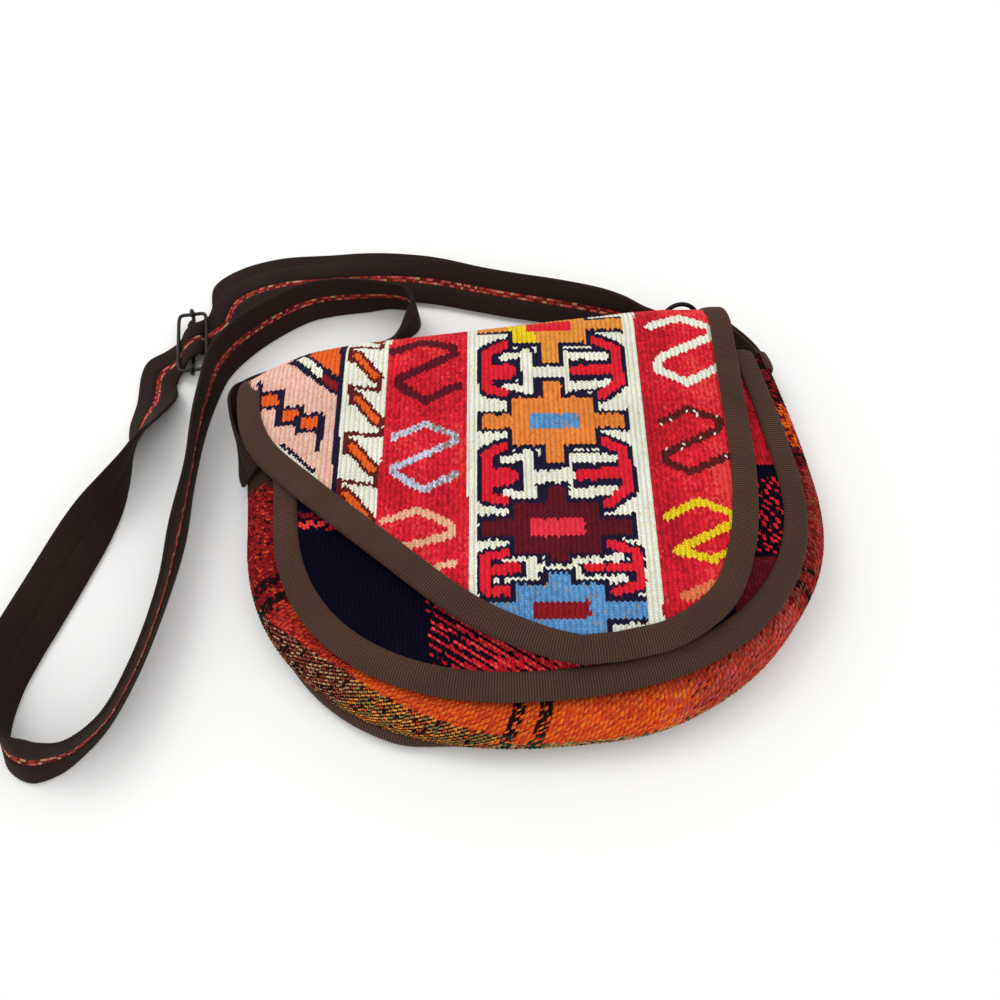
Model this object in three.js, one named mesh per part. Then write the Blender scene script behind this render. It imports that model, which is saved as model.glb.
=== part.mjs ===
// Kilim crossbody bag, lying on its back with the flap up.
// Millimetres, +Z up, +X to the bag's right, +Y towards its mouth and the flap's fold.
// The origin is under the back panel, on its axis, at the line where the panels are widest.
import * as THREE from "three";

// Pouch outline: the cut edge of the front and back panels
const PANEL_HALF_WIDTH = 124;
const FRONT_DROP = 99;
const BACK_DROP = 110;
const BACK_SHIFT = -9;
const PANEL_ROUNDNESS = 2.3;
const MOUTH_Y = 78;
const MOUTH_LEAN = -5;
const SEAM_STEPS = 35;
const SHEET_COLUMNS = 16;

// Cloth and ribbon
const KILIM_THICKNESS = 2.6;
const GUSSET_THICKNESS = 2.2;
const RIBBON_THICKNESS = 0.8;
const RIBBON_LEAF = 11.4;
const RIBBON_CORNER = 0.6;
const FIT_GAP = 0.3;
const EDGE_EASE = 0.5;
const MARGIN_EASE = 0.2;

// Height of the pouch
const FRONT_EDGE_HEIGHT = 28;
const FRONT_CROWN = 6;
const CROWN_REACH = 60;
const BACK_DISH_START = 16;
const BACK_DISH_END = 34;
const GUSSET_BULGE = 10;
const GUSSET_SWELL = 1;
const SLACK_LOST = 0.65;
const SLACK_GAINED = 0.35;
const GUSSET_BULGE_STEPS = 10;

// Flap: its fold line and its two edges, from the fold to the tip
const FLAP_CLEARANCE = 0.6;
const FOLD_Y = 86;
const FOLD_SLANT = 0.045;
const FOLD_CORNER_DROP = 9;
const FOLD_CORNER_REACH = 42;
const FLAP_LEFT_X = -142;
const FLAP_RIGHT_X = 110;
const FLAP_LEFT_EDGE = [
  [-140.5, 52], [-133, 33], [-111, 6], [-78, -29], [-41, -64.5], [-12, -81.5], [6, -88],
];
const FLAP_RIGHT_EDGE = [
  [106, 50], [101, 2], [97, -20], [90, -43.5], [75.5, -68], [50, -83.5], [24, -88],
];
const MOUTH_CORNER_GAP = 2.2;
const FOLD_STEPS = 10;
const FLAP_STEPS = 20;

// Ring behind the flap's right corner, and the doubled ribbon that holds it
const RING_RADIUS = 10;
const RING_WIRE_RADIUS = 1.25;
const RING_INSET = 31;
const RING_CENTRE = new THREE.Vector3(PANEL_HALF_WIDTH - RING_INSET, 115, 11);
const RING_LEAN = THREE.MathUtils.degToRad(64.5);
const TAB_WIDTH = 10;
const TAB_LAYER = 0.9;
const TAB_LEAD = 17;
const TAB_BOW = 5.8;
const TAB_SAG = 4.4;
const TAB_SHARES = [0, 0.27, 0.56, 0.84, 1];

// Slider on the strap
const SLIDER_LENGTH = 42;
const SLIDER_WIDTH = 17;
const SLIDER_WIRE_RADIUS = 1;
const SLIDER_CENTRE = new THREE.Vector3(-175, 132, 7);
const SLIDER_TURN = THREE.MathUtils.degToRad(3);
const SLIDER_CROSSING = THREE.MathUtils.degToRad(40);
const SLIDER_SQUARENESS = 9;

// Strap: a flat band, its width drawn in where it passes the slider and the ring
const STRAP_WIDTH = 25;
const STRAP_THICKNESS = 1.8;
const STRAP_WIDTH_IN_SLIDER = 18;
const STRAP_WIDTH_IN_RING = 13;
const STRAP_LAYER_GAP = 0.6;
const STRAP_STEP = 16;
const STRAP_REST_GAP = 0.25;

// Single run of the strap, from the seam on the gusset's left end to the slider.
// Each entry is x, y and the band's roll in degrees (0 flat with the striped face up), then its
// width where it is gathered, and its middle height where it doesn't simply lie on the table.
const STRAP_RUN = [
  [-142.6, 19, -90, 25, 14.5], [-143.9, 39, -90, 25, 14.5], [-145.6, 57, -90, 25, 14.5],
  [-147.5, 72, -90, 24, 14], [-149.2, 82, -90, 20, 11.5], [-148.5, 92, -90, 16], [-143.5, 101, -88, 15],
  [-132, 107, -78, 16], [-118, 111, -58, 19], [-104, 112.5, -28, 23],
  [-90, 112, -5], [-77, 114, -15], [-66, 119, -50], [-57.5, 125.5, -82], [-51.5, 135, -95],
  [-54, 144.5, -100], [-64.5, 149, -98], [-80, 150.5, -86], [-97, 151, -78], [-112, 148.5, -75],
  [-129.4, 139.5, -73], [-146.7, 126, -72], [-158, 110.5, -77], [-163.3, 91, -86], [-166.9, 71, -91],
  [-169.8, 40, -96], [-173.5, 8, -90], [-178.5, -25, -99], [-188.4, -61, -103], [-199.5, -84.5, -103],
  [-211, -95, -94], [-220.5, -98, -76], [-229.5, -97.8, -62], [-238, -93, -68], [-244.5, -79, -93],
  [-246, -62, -115], [-243.5, -45, -135], [-237.5, -28, -145], [-230.5, -11, -148], [-223, 6, -145],
  [-214, 22, -125], [-207, 35, -102], [-202, 48.5, -82], [-199, 61, -66], [-196, 78.5, -36],
  [-192, 94, -19],
];

// Doubled run from the slider to the ring: x, y, roll, width, and how far the returning layer
// has slipped out from under the sliding one
const STRAP_DOUBLED_RUN = [
  [-153, 160, 0, 25, 9.5], [-143, 167.5, 0, 25, 11], [-126, 172, 2, 25, 10], [-100, 171.5, 6, 25, 8],
  [-78, 169.5, 14, 25, 6], [-57, 165, 28, 25, 3], [-36.5, 158.3, 44, 25, 1], [-15.5, 150.5, 48, 25, 0],
  [4, 143.5, 50, 25, 0], [24, 137, 52, 25, 0], [49, 128.3, 55, 24, 0], [62, 123.8, 58, 21, 0],
  [72, 119.8, 62, 17, 0],
];

// Middle heights where the sliding layer passes under the frame and over the bar, by distance
// across the slider from its middle, and those of the sewn end that comes back round the bar
const SLIDING_LAYER = [
  [-17.4, 2.1], [-12, 2.5], [-7.5, 3.6], [-5.5, 5.2], [-3.3, 8], [-1.3, 9.2], [1.3, 9.2], [3.7, 8.2],
  [5.5, 5.7], [7.5, 4.4], [12, 3.6], [17.4, 3.5],
];
const SEWN_END_RUN = [[17.4, 1.1], [12, 1.1], [7.5, 1.1], [4.7, 1.5], [2.3, 2.3]];
const SEWN_END_TURN = [270, 225, 180, 135, 90];
const SEWN_END_TAIL = 1.6;
const SLIDING_SLIP = -2;
const SEWN_END_SLIP = 4.5;
const SLIDER_APPROACH = 17.4;
const SLIDER_ENTRY = 7.5;

// Levels that follow from the sizes above
const HALF_KILIM = KILIM_THICKNESS / 2;
const RIBBON_STANDOFF = FIT_GAP + RIBBON_THICKNESS;
const FLAP_LIFT = 2 * (HALF_KILIM + RIBBON_STANDOFF) + EDGE_EASE + FLAP_CLEARANCE;
const BACK_EDGE_LEVEL = RIBBON_STANDOFF + HALF_KILIM + EDGE_EASE;
const SEAM_STACK = KILIM_THICKNESS + FIT_GAP + GUSSET_THICKNESS;
const MARGIN_OFFSET = HALF_KILIM + FIT_GAP + GUSSET_THICKNESS / 2;
const TURN_RADIUS = (GUSSET_THICKNESS + RIBBON_THICKNESS + 2 * FIT_GAP) / 2;
const TURN_MIDDLE = -RIBBON_LEAF - MARGIN_EASE;
const SEAM_REACH = TURN_RADIUS + GUSSET_THICKNESS / 2 - TURN_MIDDLE;
const FRONT_SHAPE = { shift: 0, drop: FRONT_DROP };
const BACK_SHAPE = { shift: BACK_SHIFT, drop: BACK_DROP };
const UP = new THREE.Vector3(0, 0, 1);

const colours = {
  kilim: [0xb3202a, 0.95, 0],
  frontWool: [0x1c1b2b, 0.95, 0],
  gussetWool: [0xb5431c, 0.95, 0],
  ribbon: [0x3a2a22, 0.85, 0],
  strap: [0x33241e, 0.85, 0],
  blackWire: [0x1b1b1d, 0.35, 1],
  gunmetal: [0x5a5a5e, 0.35, 1],
};

/** Material of one finish. */
function finish([color, roughness, metalness]) {
  return new THREE.MeshStandardMaterial({ color, roughness, metalness });
}

/** Closed mesh from shared points and triangles, turned so that its faces point out. */
function closedGeometry(points, triangles) {
  const cross = new THREE.Vector3();
  let volume = 0;
  for (const [a, b, c] of triangles) {
    volume += points[a].dot(cross.crossVectors(points[b], points[c]));
  }
  const facing = volume < 0 ? triangles.map(([a, b, c]) => [a, c, b]) : triangles;
  const geometry = new THREE.BufferGeometry().setFromPoints(points);
  geometry.setIndex(facing.flat());
  geometry.computeVertexNormals();
  return geometry;
}

/** Triangles that fill a section, all turned the way its outline runs. */
function sectionTriangles(section) {
  const clockwise = THREE.ShapeUtils.isClockWise(section);
  return THREE.ShapeUtils.triangulateShape(section, []).map(([a, b, c]) => {
    const turned = THREE.ShapeUtils.isClockWise([section[a], section[b], section[c]]) !== clockwise;
    return turned ? [c, b, a] : [a, b, c];
  });
}

/** Two triangles of a four-sided face, parted along its higher diagonal: both faces of a twisted
 * band, and two layers of it, are then parted alike and stay apart. */
function quadTriangles(points, a, b, c, d) {
  const bow = points[a].clone().add(points[c]).sub(points[b]).sub(points[d]);
  const rise = [bow.z, bow.x, bow.y].find((part) => Math.abs(part) > 1e-6) ?? 0;
  return rise >= 0 ? [[a, b, c], [a, c, d]] : [[a, b, d], [b, c, d]];
}

/** Loft through equal loops of points, closed at each end by the triangles of its section. */
function loft(loops, section, endSection = section) {
  const size = section.length;
  const points = loops.flat();
  const triangles = [];
  for (let i = 0; i + 1 < loops.length; i += 1) {
    for (let k = 0; k < size; k += 1) {
      const next = (k + 1) % size;
      const here = i * size;
      const there = here + size;
      triangles.push(...quadTriangles(points, here + k, here + next, there + next, there + k));
    }
  }
  const last = (loops.length - 1) * size;
  for (const [a, b, c] of sectionTriangles(section)) triangles.push([c, b, a]);
  for (const [a, b, c] of sectionTriangles(endSection)) triangles.push([last + a, last + b, last + c]);
  return closedGeometry(points, triangles);
}

/** Normal of a grid of points at row i, column j. */
function gridNormal(grid, i, j) {
  const row = grid[i];
  const up = grid[Math.min(i + 1, grid.length - 1)][j].clone().sub(grid[Math.max(i - 1, 0)][j]);
  const across = row[Math.min(j + 1, row.length - 1)].clone().sub(row[Math.max(j - 1, 0)]);
  return up.cross(across).normalize();
}

/** Sheet of cloth of even thickness about a grid of middle points. */
function sheet(grid, thickness) {
  const columns = grid[0].length;
  const count = grid.length * columns;
  const points = [];
  for (const side of [0.5, -0.5]) {
    grid.forEach((row, i) => row.forEach((point, j) => {
      points.push(point.clone().addScaledVector(gridNormal(grid, i, j), side * thickness));
    }));
  }
  const triangles = [];
  const quad = (a, b, c, d) => triangles.push([a, b, c], [a, c, d]);
  for (let i = 0; i + 1 < grid.length; i += 1) {
    for (let j = 0; j + 1 < columns; j += 1) {
      const a = i * columns + j;
      quad(a, a + 1, a + columns + 1, a + columns);
      quad(a + count, a + columns + count, a + columns + 1 + count, a + 1 + count);
    }
  }
  const rim = [];
  for (let j = 0; j + 1 < columns; j += 1) rim.push(j);
  for (let i = 0; i + 1 < grid.length; i += 1) rim.push(i * columns + columns - 1);
  for (let j = columns - 1; j > 0; j -= 1) rim.push((grid.length - 1) * columns + j);
  for (let i = grid.length - 1; i > 0; i -= 1) rim.push(i * columns);
  rim.forEach((a, k) => {
    const b = rim[(k + 1) % rim.length];
    quad(a, a + count, b + count, b);
  });
  return closedGeometry(points, triangles);
}

/** Sideways lean of the pouch at height y of its outline. */
function leanAt(y) {
  return y > 0 ? MOUTH_LEAN * (y / MOUTH_Y) ** 2 : 0;
}

/** The D-shaped cut edge, from the left end of the mouth round the bottom to the right end. */
class PouchOutline extends THREE.Curve {
  constructor({ shift, drop }) {
    super();
    this.shift = shift;
    this.drop = drop;
    this.arcLengthDivisions = 1000;
  }

  getPoint(t, target = new THREE.Vector3()) {
    const sideShare = 0.15;
    const near = Math.min(t, 1 - t);
    const side = t < 0.5 ? -1 : 1;
    if (near < sideShare) {
      const y = MOUTH_Y * (1 - near / sideShare);
      return target.set(this.shift + side * PANEL_HALF_WIDTH + leanAt(y), y, 0);
    }
    const angle = Math.PI * (t - sideShare) / (1 - 2 * sideShare);
    const power = 2 / PANEL_ROUNDNESS;
    const x = side * PANEL_HALF_WIDTH * Math.abs(Math.cos(angle)) ** power;
    return target.set(this.shift + x, -this.drop * Math.sin(angle) ** power, 0);
  }
}

/** How far inside a panel's outline a point lies, in millimetres at the sides. */
function depthInside({ shift, drop }, x, y) {
  const across = Math.abs(x - shift - leanAt(y)) / PANEL_HALF_WIDTH;
  const down = Math.max(-y, 0) / drop;
  const share = (across ** PANEL_ROUNDNESS + down ** PANEL_ROUNDNESS) ** (1 / PANEL_ROUNDNESS);
  return (1 - share) * PANEL_HALF_WIDTH;
}

/** Middle height of the crowned front panel. */
function frontLevel(x, y) {
  const share = Math.min(depthInside(FRONT_SHAPE, x, y) / CROWN_REACH, 1);
  return FRONT_EDGE_HEIGHT + FRONT_CROWN * (1 - (1 - share) ** 2);
}

/** Middle height of the back panel: flat on the table, its edge lifted by the ribbon. */
function backLevel(x, y) {
  const share = THREE.MathUtils.smoothstep(depthInside(BACK_SHAPE, x, y), BACK_DISH_START, BACK_DISH_END);
  return THREE.MathUtils.lerp(BACK_EDGE_LEVEL, HALF_KILIM, share);
}

/** Middle height of the flap, which follows the front panel below it. */
function flapLevel(x, y) {
  return frontLevel(x, y) + FLAP_LIFT;
}

/** Line where the back panel starts to turn over into the flap. */
function foldLine(x) {
  return FOLD_Y + FOLD_SLANT * x;
}

/** Line where the fold ends and the flap begins, rounded off at the flap's left corner. */
function flapLine(x) {
  const near = THREE.MathUtils.clamp(1 - (x - FLAP_LEFT_X) / FOLD_CORNER_REACH, 0, 1);
  return foldLine(x) - FOLD_CORNER_DROP * near ** 2;
}

/** Place on a seam with its outward direction, by its share of the outline's length. */
function seamPlace(outline, share) {
  const point = outline.getPointAt(share);
  const along = outline.getTangentAt(share);
  const atMouth = Math.min(share, 1 - share) < 1 / (2 * SEAM_STEPS);
  const out = atMouth ? new THREE.Vector3(along.y, 0, 0) : new THREE.Vector3(along.y, -along.x, 0);
  return { point, along, out: out.normalize() };
}

/** Places along a seam, from the left end of the mouth to the right, the ends drawn in by inset. */
function seamPlaces(shape, inset) {
  const outline = new PouchOutline(shape);
  const cut = inset / outline.getLength();
  return Array.from({ length: SEAM_STEPS + 1 }, (_, i) => (
    seamPlace(outline, THREE.MathUtils.clamp(i / SEAM_STEPS, cut, 1 - cut))
  ));
}

const frontSeam = seamPlaces(FRONT_SHAPE, 0);
const backSeam = seamPlaces(BACK_SHAPE, 0);

/** Section frame of the front seam, tilted with the front panel's slope. */
function frontFrame({ point, out }) {
  const reach = RIBBON_LEAF;
  const inner = point.clone().addScaledVector(out, -reach);
  const level = frontLevel(point.x, point.y);
  const tilt = Math.atan2(level - frontLevel(inner.x, inner.y), reach);
  return {
    origin: new THREE.Vector3(point.x, point.y, level),
    outward: out.clone().multiplyScalar(Math.cos(tilt)).addScaledVector(UP, Math.sin(tilt)),
    normal: out.clone().multiplyScalar(-Math.sin(tilt)).addScaledVector(UP, Math.cos(tilt)),
  };
}

/** Section frame of the back seam, flat on the table. */
function backFrame({ point, out }) {
  return { origin: new THREE.Vector3(point.x, point.y, BACK_EDGE_LEVEL), outward: out, normal: UP };
}

/** A point given in a section frame by its outward distance and its height. */
function inFrame(frame, outward, height) {
  return frame.origin.clone().addScaledVector(frame.outward, outward).addScaledVector(frame.normal, height);
}

/** Section of ribbon folded over an edge of the given thickness, centred on middle. */
function foldedRibbon(thickness, middle) {
  const inner = thickness / 2 + FIT_GAP;
  const outer = inner + RIBBON_THICKNESS;
  const tip = FIT_GAP + RIBBON_THICKNESS;
  const upper = [
    [-RIBBON_LEAF, inner], [FIT_GAP, inner], [FIT_GAP, -inner], [-RIBBON_LEAF, -inner],
    [-RIBBON_LEAF, -outer], [tip - RIBBON_CORNER, -outer], [tip, -outer + RIBBON_CORNER],
    [tip, outer - RIBBON_CORNER], [tip - RIBBON_CORNER, outer], [-RIBBON_LEAF, outer],
  ];
  return upper.map(([b, n]) => new THREE.Vector2(b, n + middle));
}

/** Ribbon folded over an edge, swept along section frames. */
function binding(frames, thickness, middle) {
  const section = foldedRibbon(thickness, middle);
  return loft(frames.map((frame) => section.map(({ x, y }) => inFrame(frame, x, y))), section);
}

/** Rows of a panel between the left and right halves of the seam, from the mouth down. */
function panelRows(seam, level) {
  const half = (SEAM_STEPS - 1) / 2;
  return Array.from({ length: half + 1 }, (_, i) => {
    const left = seam[i].point;
    const right = seam[SEAM_STEPS - i].point;
    return Array.from({ length: SHEET_COLUMNS + 1 }, (__, j) => {
      const place = left.clone().lerp(right, j / SHEET_COLUMNS);
      return place.setZ(level(place.x, place.y));
    });
  });
}

/** Part of the gusset's middle line in one seam: its margin, and the turn back out of the ribbon.
 * Outward distance and height, from the middle of the panel's edge. */
function seamTurn() {
  const line = [[-MARGIN_EASE, MARGIN_OFFSET], [TURN_MIDDLE, MARGIN_OFFSET]];
  for (const angle of [135, 180, 225]) {
    const radians = THREE.MathUtils.degToRad(angle);
    const height = MARGIN_OFFSET + TURN_RADIUS - TURN_RADIUS * Math.sin(radians);
    line.push([TURN_MIDDLE + TURN_RADIUS * Math.cos(radians), height]);
  }
  const legLevel = MARGIN_OFFSET + 2 * TURN_RADIUS;
  line.push([TURN_MIDDLE, legLevel], [EDGE_EASE, legLevel]);
  return line;
}

/** Middle line of the gusset between places on the two seams, with the cloth's bulge by itself.
 * Where the back panel draws the cloth outwards there is less slack to bulge, and where it lies
 * further in there is more. */
function gussetLine(front, back) {
  const frontSection = frontFrame(front);
  const backSection = backFrame(back);
  const out = front.out.clone().add(back.out).normalize();
  const top = seamTurn().map(([b, n]) => inFrame(frontSection, b, -n));
  const bottom = seamTurn().map(([b, n]) => inFrame(backSection, b, n)).reverse();
  const drawn = back.point.clone().sub(front.point).dot(out);
  const lost = SLACK_LOST * THREE.MathUtils.smoothstep(drawn, 8, 15);
  const slack = 1 - lost + SLACK_GAINED * THREE.MathUtils.smoothstep(-drawn, 2, 9);
  const bulge = Array.from({ length: GUSSET_BULGE_STEPS + 1 }, (_, k) => {
    const angle = Math.PI * k / GUSSET_BULGE_STEPS;
    const place = top[top.length - 1].clone().lerp(bottom[0], (1 - Math.cos(angle)) / 2);
    place.addScaledVector(out, GUSSET_BULGE * slack * Math.sin(angle) ** 0.8);
    return place.addScaledVector(UP, GUSSET_SWELL * Math.sin(2 * angle));
  });
  return { line: [...top, ...bulge.slice(1, -1), ...bottom], bulge, out };
}

/** Normals of a line of points in the plane square to a direction. */
function lineNormals(line, square) {
  return line.map((_, i) => {
    const ahead = line[Math.min(i + 1, line.length - 1)];
    return ahead.clone().sub(line[Math.max(i - 1, 0)]).cross(square).normalize();
  });
}

const frontGussetSeam = seamPlaces(FRONT_SHAPE, RIBBON_STANDOFF + FIT_GAP);
const backGussetSeam = seamPlaces(BACK_SHAPE, RIBBON_STANDOFF + FIT_GAP);
const leftEnd = frontGussetSeam[0].along.clone().negate();
const rightEnd = frontGussetSeam[SEAM_STEPS].along;

/** The gusset: one band of cloth turned into both seams, bulging between them. */
function gussetGeometry() {
  const loops = frontGussetSeam.map((front, i) => {
    const { line } = gussetLine(front, backGussetSeam[i]);
    const normals = lineNormals(line, front.along);
    const side = (sign) => line.map((point, k) => (
      point.clone().addScaledVector(normals[k], sign * GUSSET_THICKNESS / 2)
    ));
    return [...side(1), ...side(-1).reverse()];
  });
  const sectionAt = (end) => {
    const { point, out } = frontGussetSeam[end];
    return loops[end].map((place) => new THREE.Vector2(place.clone().sub(point).dot(out), place.z));
  };
  return loft(loops, sectionAt(0), sectionAt(SEAM_STEPS));
}

/** Ribbon over one end of the gusset, along the bulge that stands clear of the seams' ribbons. */
function gussetEndBinding(end, outOfEnd) {
  const front = frontGussetSeam[end];
  const back = backGussetSeam[end];
  const { bulge, out } = gussetLine(front, back);
  const normals = lineNormals(bulge, front.along);
  const farEnough = RIBBON_STANDOFF + RIBBON_THICKNESS;
  const clearOf = (place, seamPoint) => place.clone().sub(seamPoint).dot(out) > farEnough;
  const nearer = (i) => (i < GUSSET_BULGE_STEPS / 2 ? front.point : back.point);
  const clear = [...bulge.keys()].filter((i) => clearOf(bulge[i], nearer(i)));
  const frames = clear.map((i) => ({
    origin: bulge[i].clone().addScaledVector(outOfEnd, FIT_GAP), outward: outOfEnd, normal: normals[i],
  }));
  return binding(frames, GUSSET_THICKNESS + EDGE_EASE, 0);
}

/** Ribbon over the front panel's top edge, between the two ends of the front seam's ribbon. */
function mouthBinding() {
  const reach = PANEL_HALF_WIDTH - SEAM_REACH - 4 * FIT_GAP;
  const steps = 14;
  const frames = Array.from({ length: steps + 1 }, (_, i) => {
    const x = leanAt(MOUTH_Y) + THREE.MathUtils.lerp(-reach, reach, i / steps);
    return {
      origin: new THREE.Vector3(x, MOUTH_Y, frontLevel(x, MOUTH_Y)),
      outward: new THREE.Vector3(0, 1, 0),
      normal: UP,
    };
  });
  return binding(frames, KILIM_THICKNESS + EDGE_EASE, 0);
}

/** Rows of the fold, turning the cloth from the back panel over into the flap. */
function foldRows() {
  const backLeft = backSeam[0].point.x;
  const backRight = backSeam[SEAM_STEPS].point.x;
  return Array.from({ length: FOLD_STEPS + 1 }, (_, k) => {
    const angle = Math.PI * k / FOLD_STEPS;
    const shift = THREE.MathUtils.smoothstep(k, 0, FOLD_STEPS);
    const left = THREE.MathUtils.lerp(backLeft, FLAP_LEFT_X, shift);
    const right = THREE.MathUtils.lerp(backRight, FLAP_RIGHT_X, shift);
    return Array.from({ length: SHEET_COLUMNS + 1 }, (__, j) => {
      const x = THREE.MathUtils.lerp(left, right, j / SHEET_COLUMNS);
      const line = THREE.MathUtils.lerp(foldLine(x), flapLine(x), shift);
      const low = backLevel(x, foldLine(x));
      const radius = (flapLevel(x, line) - low) / 2;
      return new THREE.Vector3(x, line + radius * Math.sin(angle), low + radius * (1 - Math.cos(angle)));
    });
  });
}

/** Rows of the flap between its two edges, from the fold to the tip. */
function flapRows() {
  const edge = (x, points) => {
    const places = [[x, flapLine(x)], ...points].map(([a, b]) => new THREE.Vector2(a, b));
    return new THREE.SplineCurve(places).getSpacedPoints(FLAP_STEPS);
  };
  const left = edge(FLAP_LEFT_X, FLAP_LEFT_EDGE);
  const right = edge(FLAP_RIGHT_X, FLAP_RIGHT_EDGE);
  const chord = (x) => {
    const share = (x - FLAP_LEFT_X) / (FLAP_RIGHT_X - FLAP_LEFT_X);
    return THREE.MathUtils.lerp(flapLine(FLAP_LEFT_X), flapLine(FLAP_RIGHT_X), share);
  };
  return Array.from({ length: FLAP_STEPS }, (_, k) => {
    const row = k + 1;
    const bow = (1 - row / FLAP_STEPS) ** 3;
    return Array.from({ length: SHEET_COLUMNS + 1 }, (__, j) => {
      const place = left[row].clone().lerp(right[row], j / SHEET_COLUMNS);
      const y = place.y + bow * (flapLine(place.x) - chord(place.x));
      return new THREE.Vector3(place.x, y, flapLevel(place.x, y));
    });
  });
}

const backRows = panelRows(backSeam, backLevel).reverse();
const backAndFlapGrid = [...backRows, ...foldRows(), ...flapRows()];

/** Ribbon round the free edge of the folded cloth, from one end of the mouth to the other. */
function flapBinding() {
  const first = backRows.length;
  const last = backAndFlapGrid.length - 1;
  const right = SHEET_COLUMNS;
  const places = [];
  for (let i = first; i <= last; i += 1) places.push([i, 0]);
  for (const share of [0.25, 0.5, 0.75]) places.push([last, Math.round(share * right)]);
  for (let i = last; i >= first; i -= 1) places.push([i, right]);
  const edge = places.map(([i, j]) => backAndFlapGrid[i][j].clone());
  const normals = places.map(([i, j]) => gridNormal(backAndFlapGrid, i, j));
  const mouthEnd = backSeam[SEAM_STEPS].point.clone().setZ(BACK_EDGE_LEVEL);
  mouthEnd.y += MOUTH_CORNER_GAP;
  edge.push(mouthEnd);
  normals.push(normals[normals.length - 1]);
  const frames = edge.map((origin, i) => {
    const ahead = edge[Math.min(i + 1, edge.length - 1)];
    const along = ahead.clone().sub(edge[Math.max(i - 1, 0)]).normalize();
    const outward = along.clone().cross(normals[i]).normalize();
    return { origin, outward, normal: outward.clone().cross(along) };
  });
  return binding(frames, KILIM_THICKNESS + EDGE_EASE, 0);
}

/** Flat band through places that give its middle, the direction of its width, and its width. */
function band(places, thickness, step) {
  const curve = new THREE.CatmullRomCurve3(places.map(({ at }) => at), false, "centripetal");
  const intervals = places.length - 1;
  const stations = [];
  for (let i = 0; i < intervals; i += 1) {
    const here = places[i];
    const there = places[i + 1];
    const steps = Math.max(1, Math.round(here.at.distanceTo(there.at) / step));
    for (let k = 0; k < steps; k += 1) stations.push([i, k / steps]);
  }
  stations.push([intervals - 1, 1]);
  const bevel = thickness * 0.25;
  const loops = stations.map(([i, share]) => {
    const t = (i + share) / intervals;
    const at = curve.getPoint(t);
    const along = curve.getTangent(t);
    const wide = places[i].wide.clone().lerp(places[i + 1].wide, share).normalize();
    const face = along.clone().cross(wide).normalize();
    const half = THREE.MathUtils.lerp(places[i].width, places[i + 1].width, share) / 2;
    return bandSection(half, thickness / 2, bevel).map(({ x, y }) => (
      at.clone().addScaledVector(wide, x).addScaledVector(face, y)
    ));
  });
  return loft(loops, bandSection(places[0].width / 2, thickness / 2, bevel));
}

/** Section of a flat band with its long edges softened. */
function bandSection(half, rise, bevel) {
  const quarter = [[half, rise - bevel], [half - bevel, rise]];
  const right = quarter.map(([x, y]) => [x, -y]).reverse();
  const top = [...right, ...quarter];
  const left = top.map(([x, y]) => [-x, y]).reverse();
  return [...top, ...left].map(([x, y]) => new THREE.Vector2(x, y));
}

/** Direction of the band's width for a heading in plan and a roll in degrees. */
function widthDirection(heading, rollDegrees) {
  const roll = THREE.MathUtils.degToRad(rollDegrees);
  const side = heading.clone().cross(UP).normalize();
  return side.multiplyScalar(-Math.cos(roll)).addScaledVector(UP, Math.sin(roll));
}

/** Height of the middle of a band that lies on the table with its lower edge or face. */
function restingHeight(rollDegrees, width, thickness) {
  const roll = THREE.MathUtils.degToRad(rollDegrees);
  const standing = width / 2 * Math.abs(Math.sin(roll));
  return standing + thickness / 2 * Math.abs(Math.cos(roll)) + STRAP_REST_GAP;
}

/** Heading in plan at one entry of a route. */
function headingAt(route, i) {
  const [x1, y1] = route[Math.max(i - 1, 0)];
  const [x2, y2] = route[Math.min(i + 1, route.length - 1)];
  return new THREE.Vector3(x2 - x1, y2 - y1, 0).normalize();
}

/** Places of the single run, from the gusset's end to the slider. */
function singleRun() {
  return STRAP_RUN.map(([x, y, roll, width = STRAP_WIDTH, height = undefined], i) => ({
    at: new THREE.Vector3(x, y, height ?? restingHeight(roll, width, STRAP_THICKNESS)),
    wide: widthDirection(headingAt(STRAP_RUN, i), roll),
    width,
  }));
}

const sliderHeading = new THREE.Vector3(1, 0, 0).applyAxisAngle(UP, SLIDER_TURN + SLIDER_CROSSING);

const sliderLength = new THREE.Vector3(0, 1, 0).applyAxisAngle(UP, SLIDER_TURN);

/** Place in the slider, by the distance across it, the height, and the slip along it: the band's
 * threads turn to run with the slider's long sides as it goes in. */
function inSlider(across, height, slip) {
  const square = widthDirection(sliderHeading, 0);
  const turned = 1 - THREE.MathUtils.smoothstep(Math.abs(across), SLIDER_ENTRY, SLIDER_APPROACH);
  const wide = square.clone().lerp(sliderLength, turned).normalize();
  const width = THREE.MathUtils.lerp(STRAP_WIDTH, STRAP_WIDTH_IN_SLIDER, turned) / wide.dot(square);
  const along = across / Math.cos(SLIDER_CROSSING);
  const at = SLIDER_CENTRE.clone().addScaledVector(sliderHeading, along).setZ(height);
  return { at: at.addScaledVector(sliderLength, slip), wide, width };
}

const ringAxis = new THREE.Vector3(0, -Math.sin(RING_LEAN), Math.cos(RING_LEAN));
const ringUp = new THREE.Vector3(0, Math.cos(RING_LEAN), Math.sin(RING_LEAN));

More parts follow.
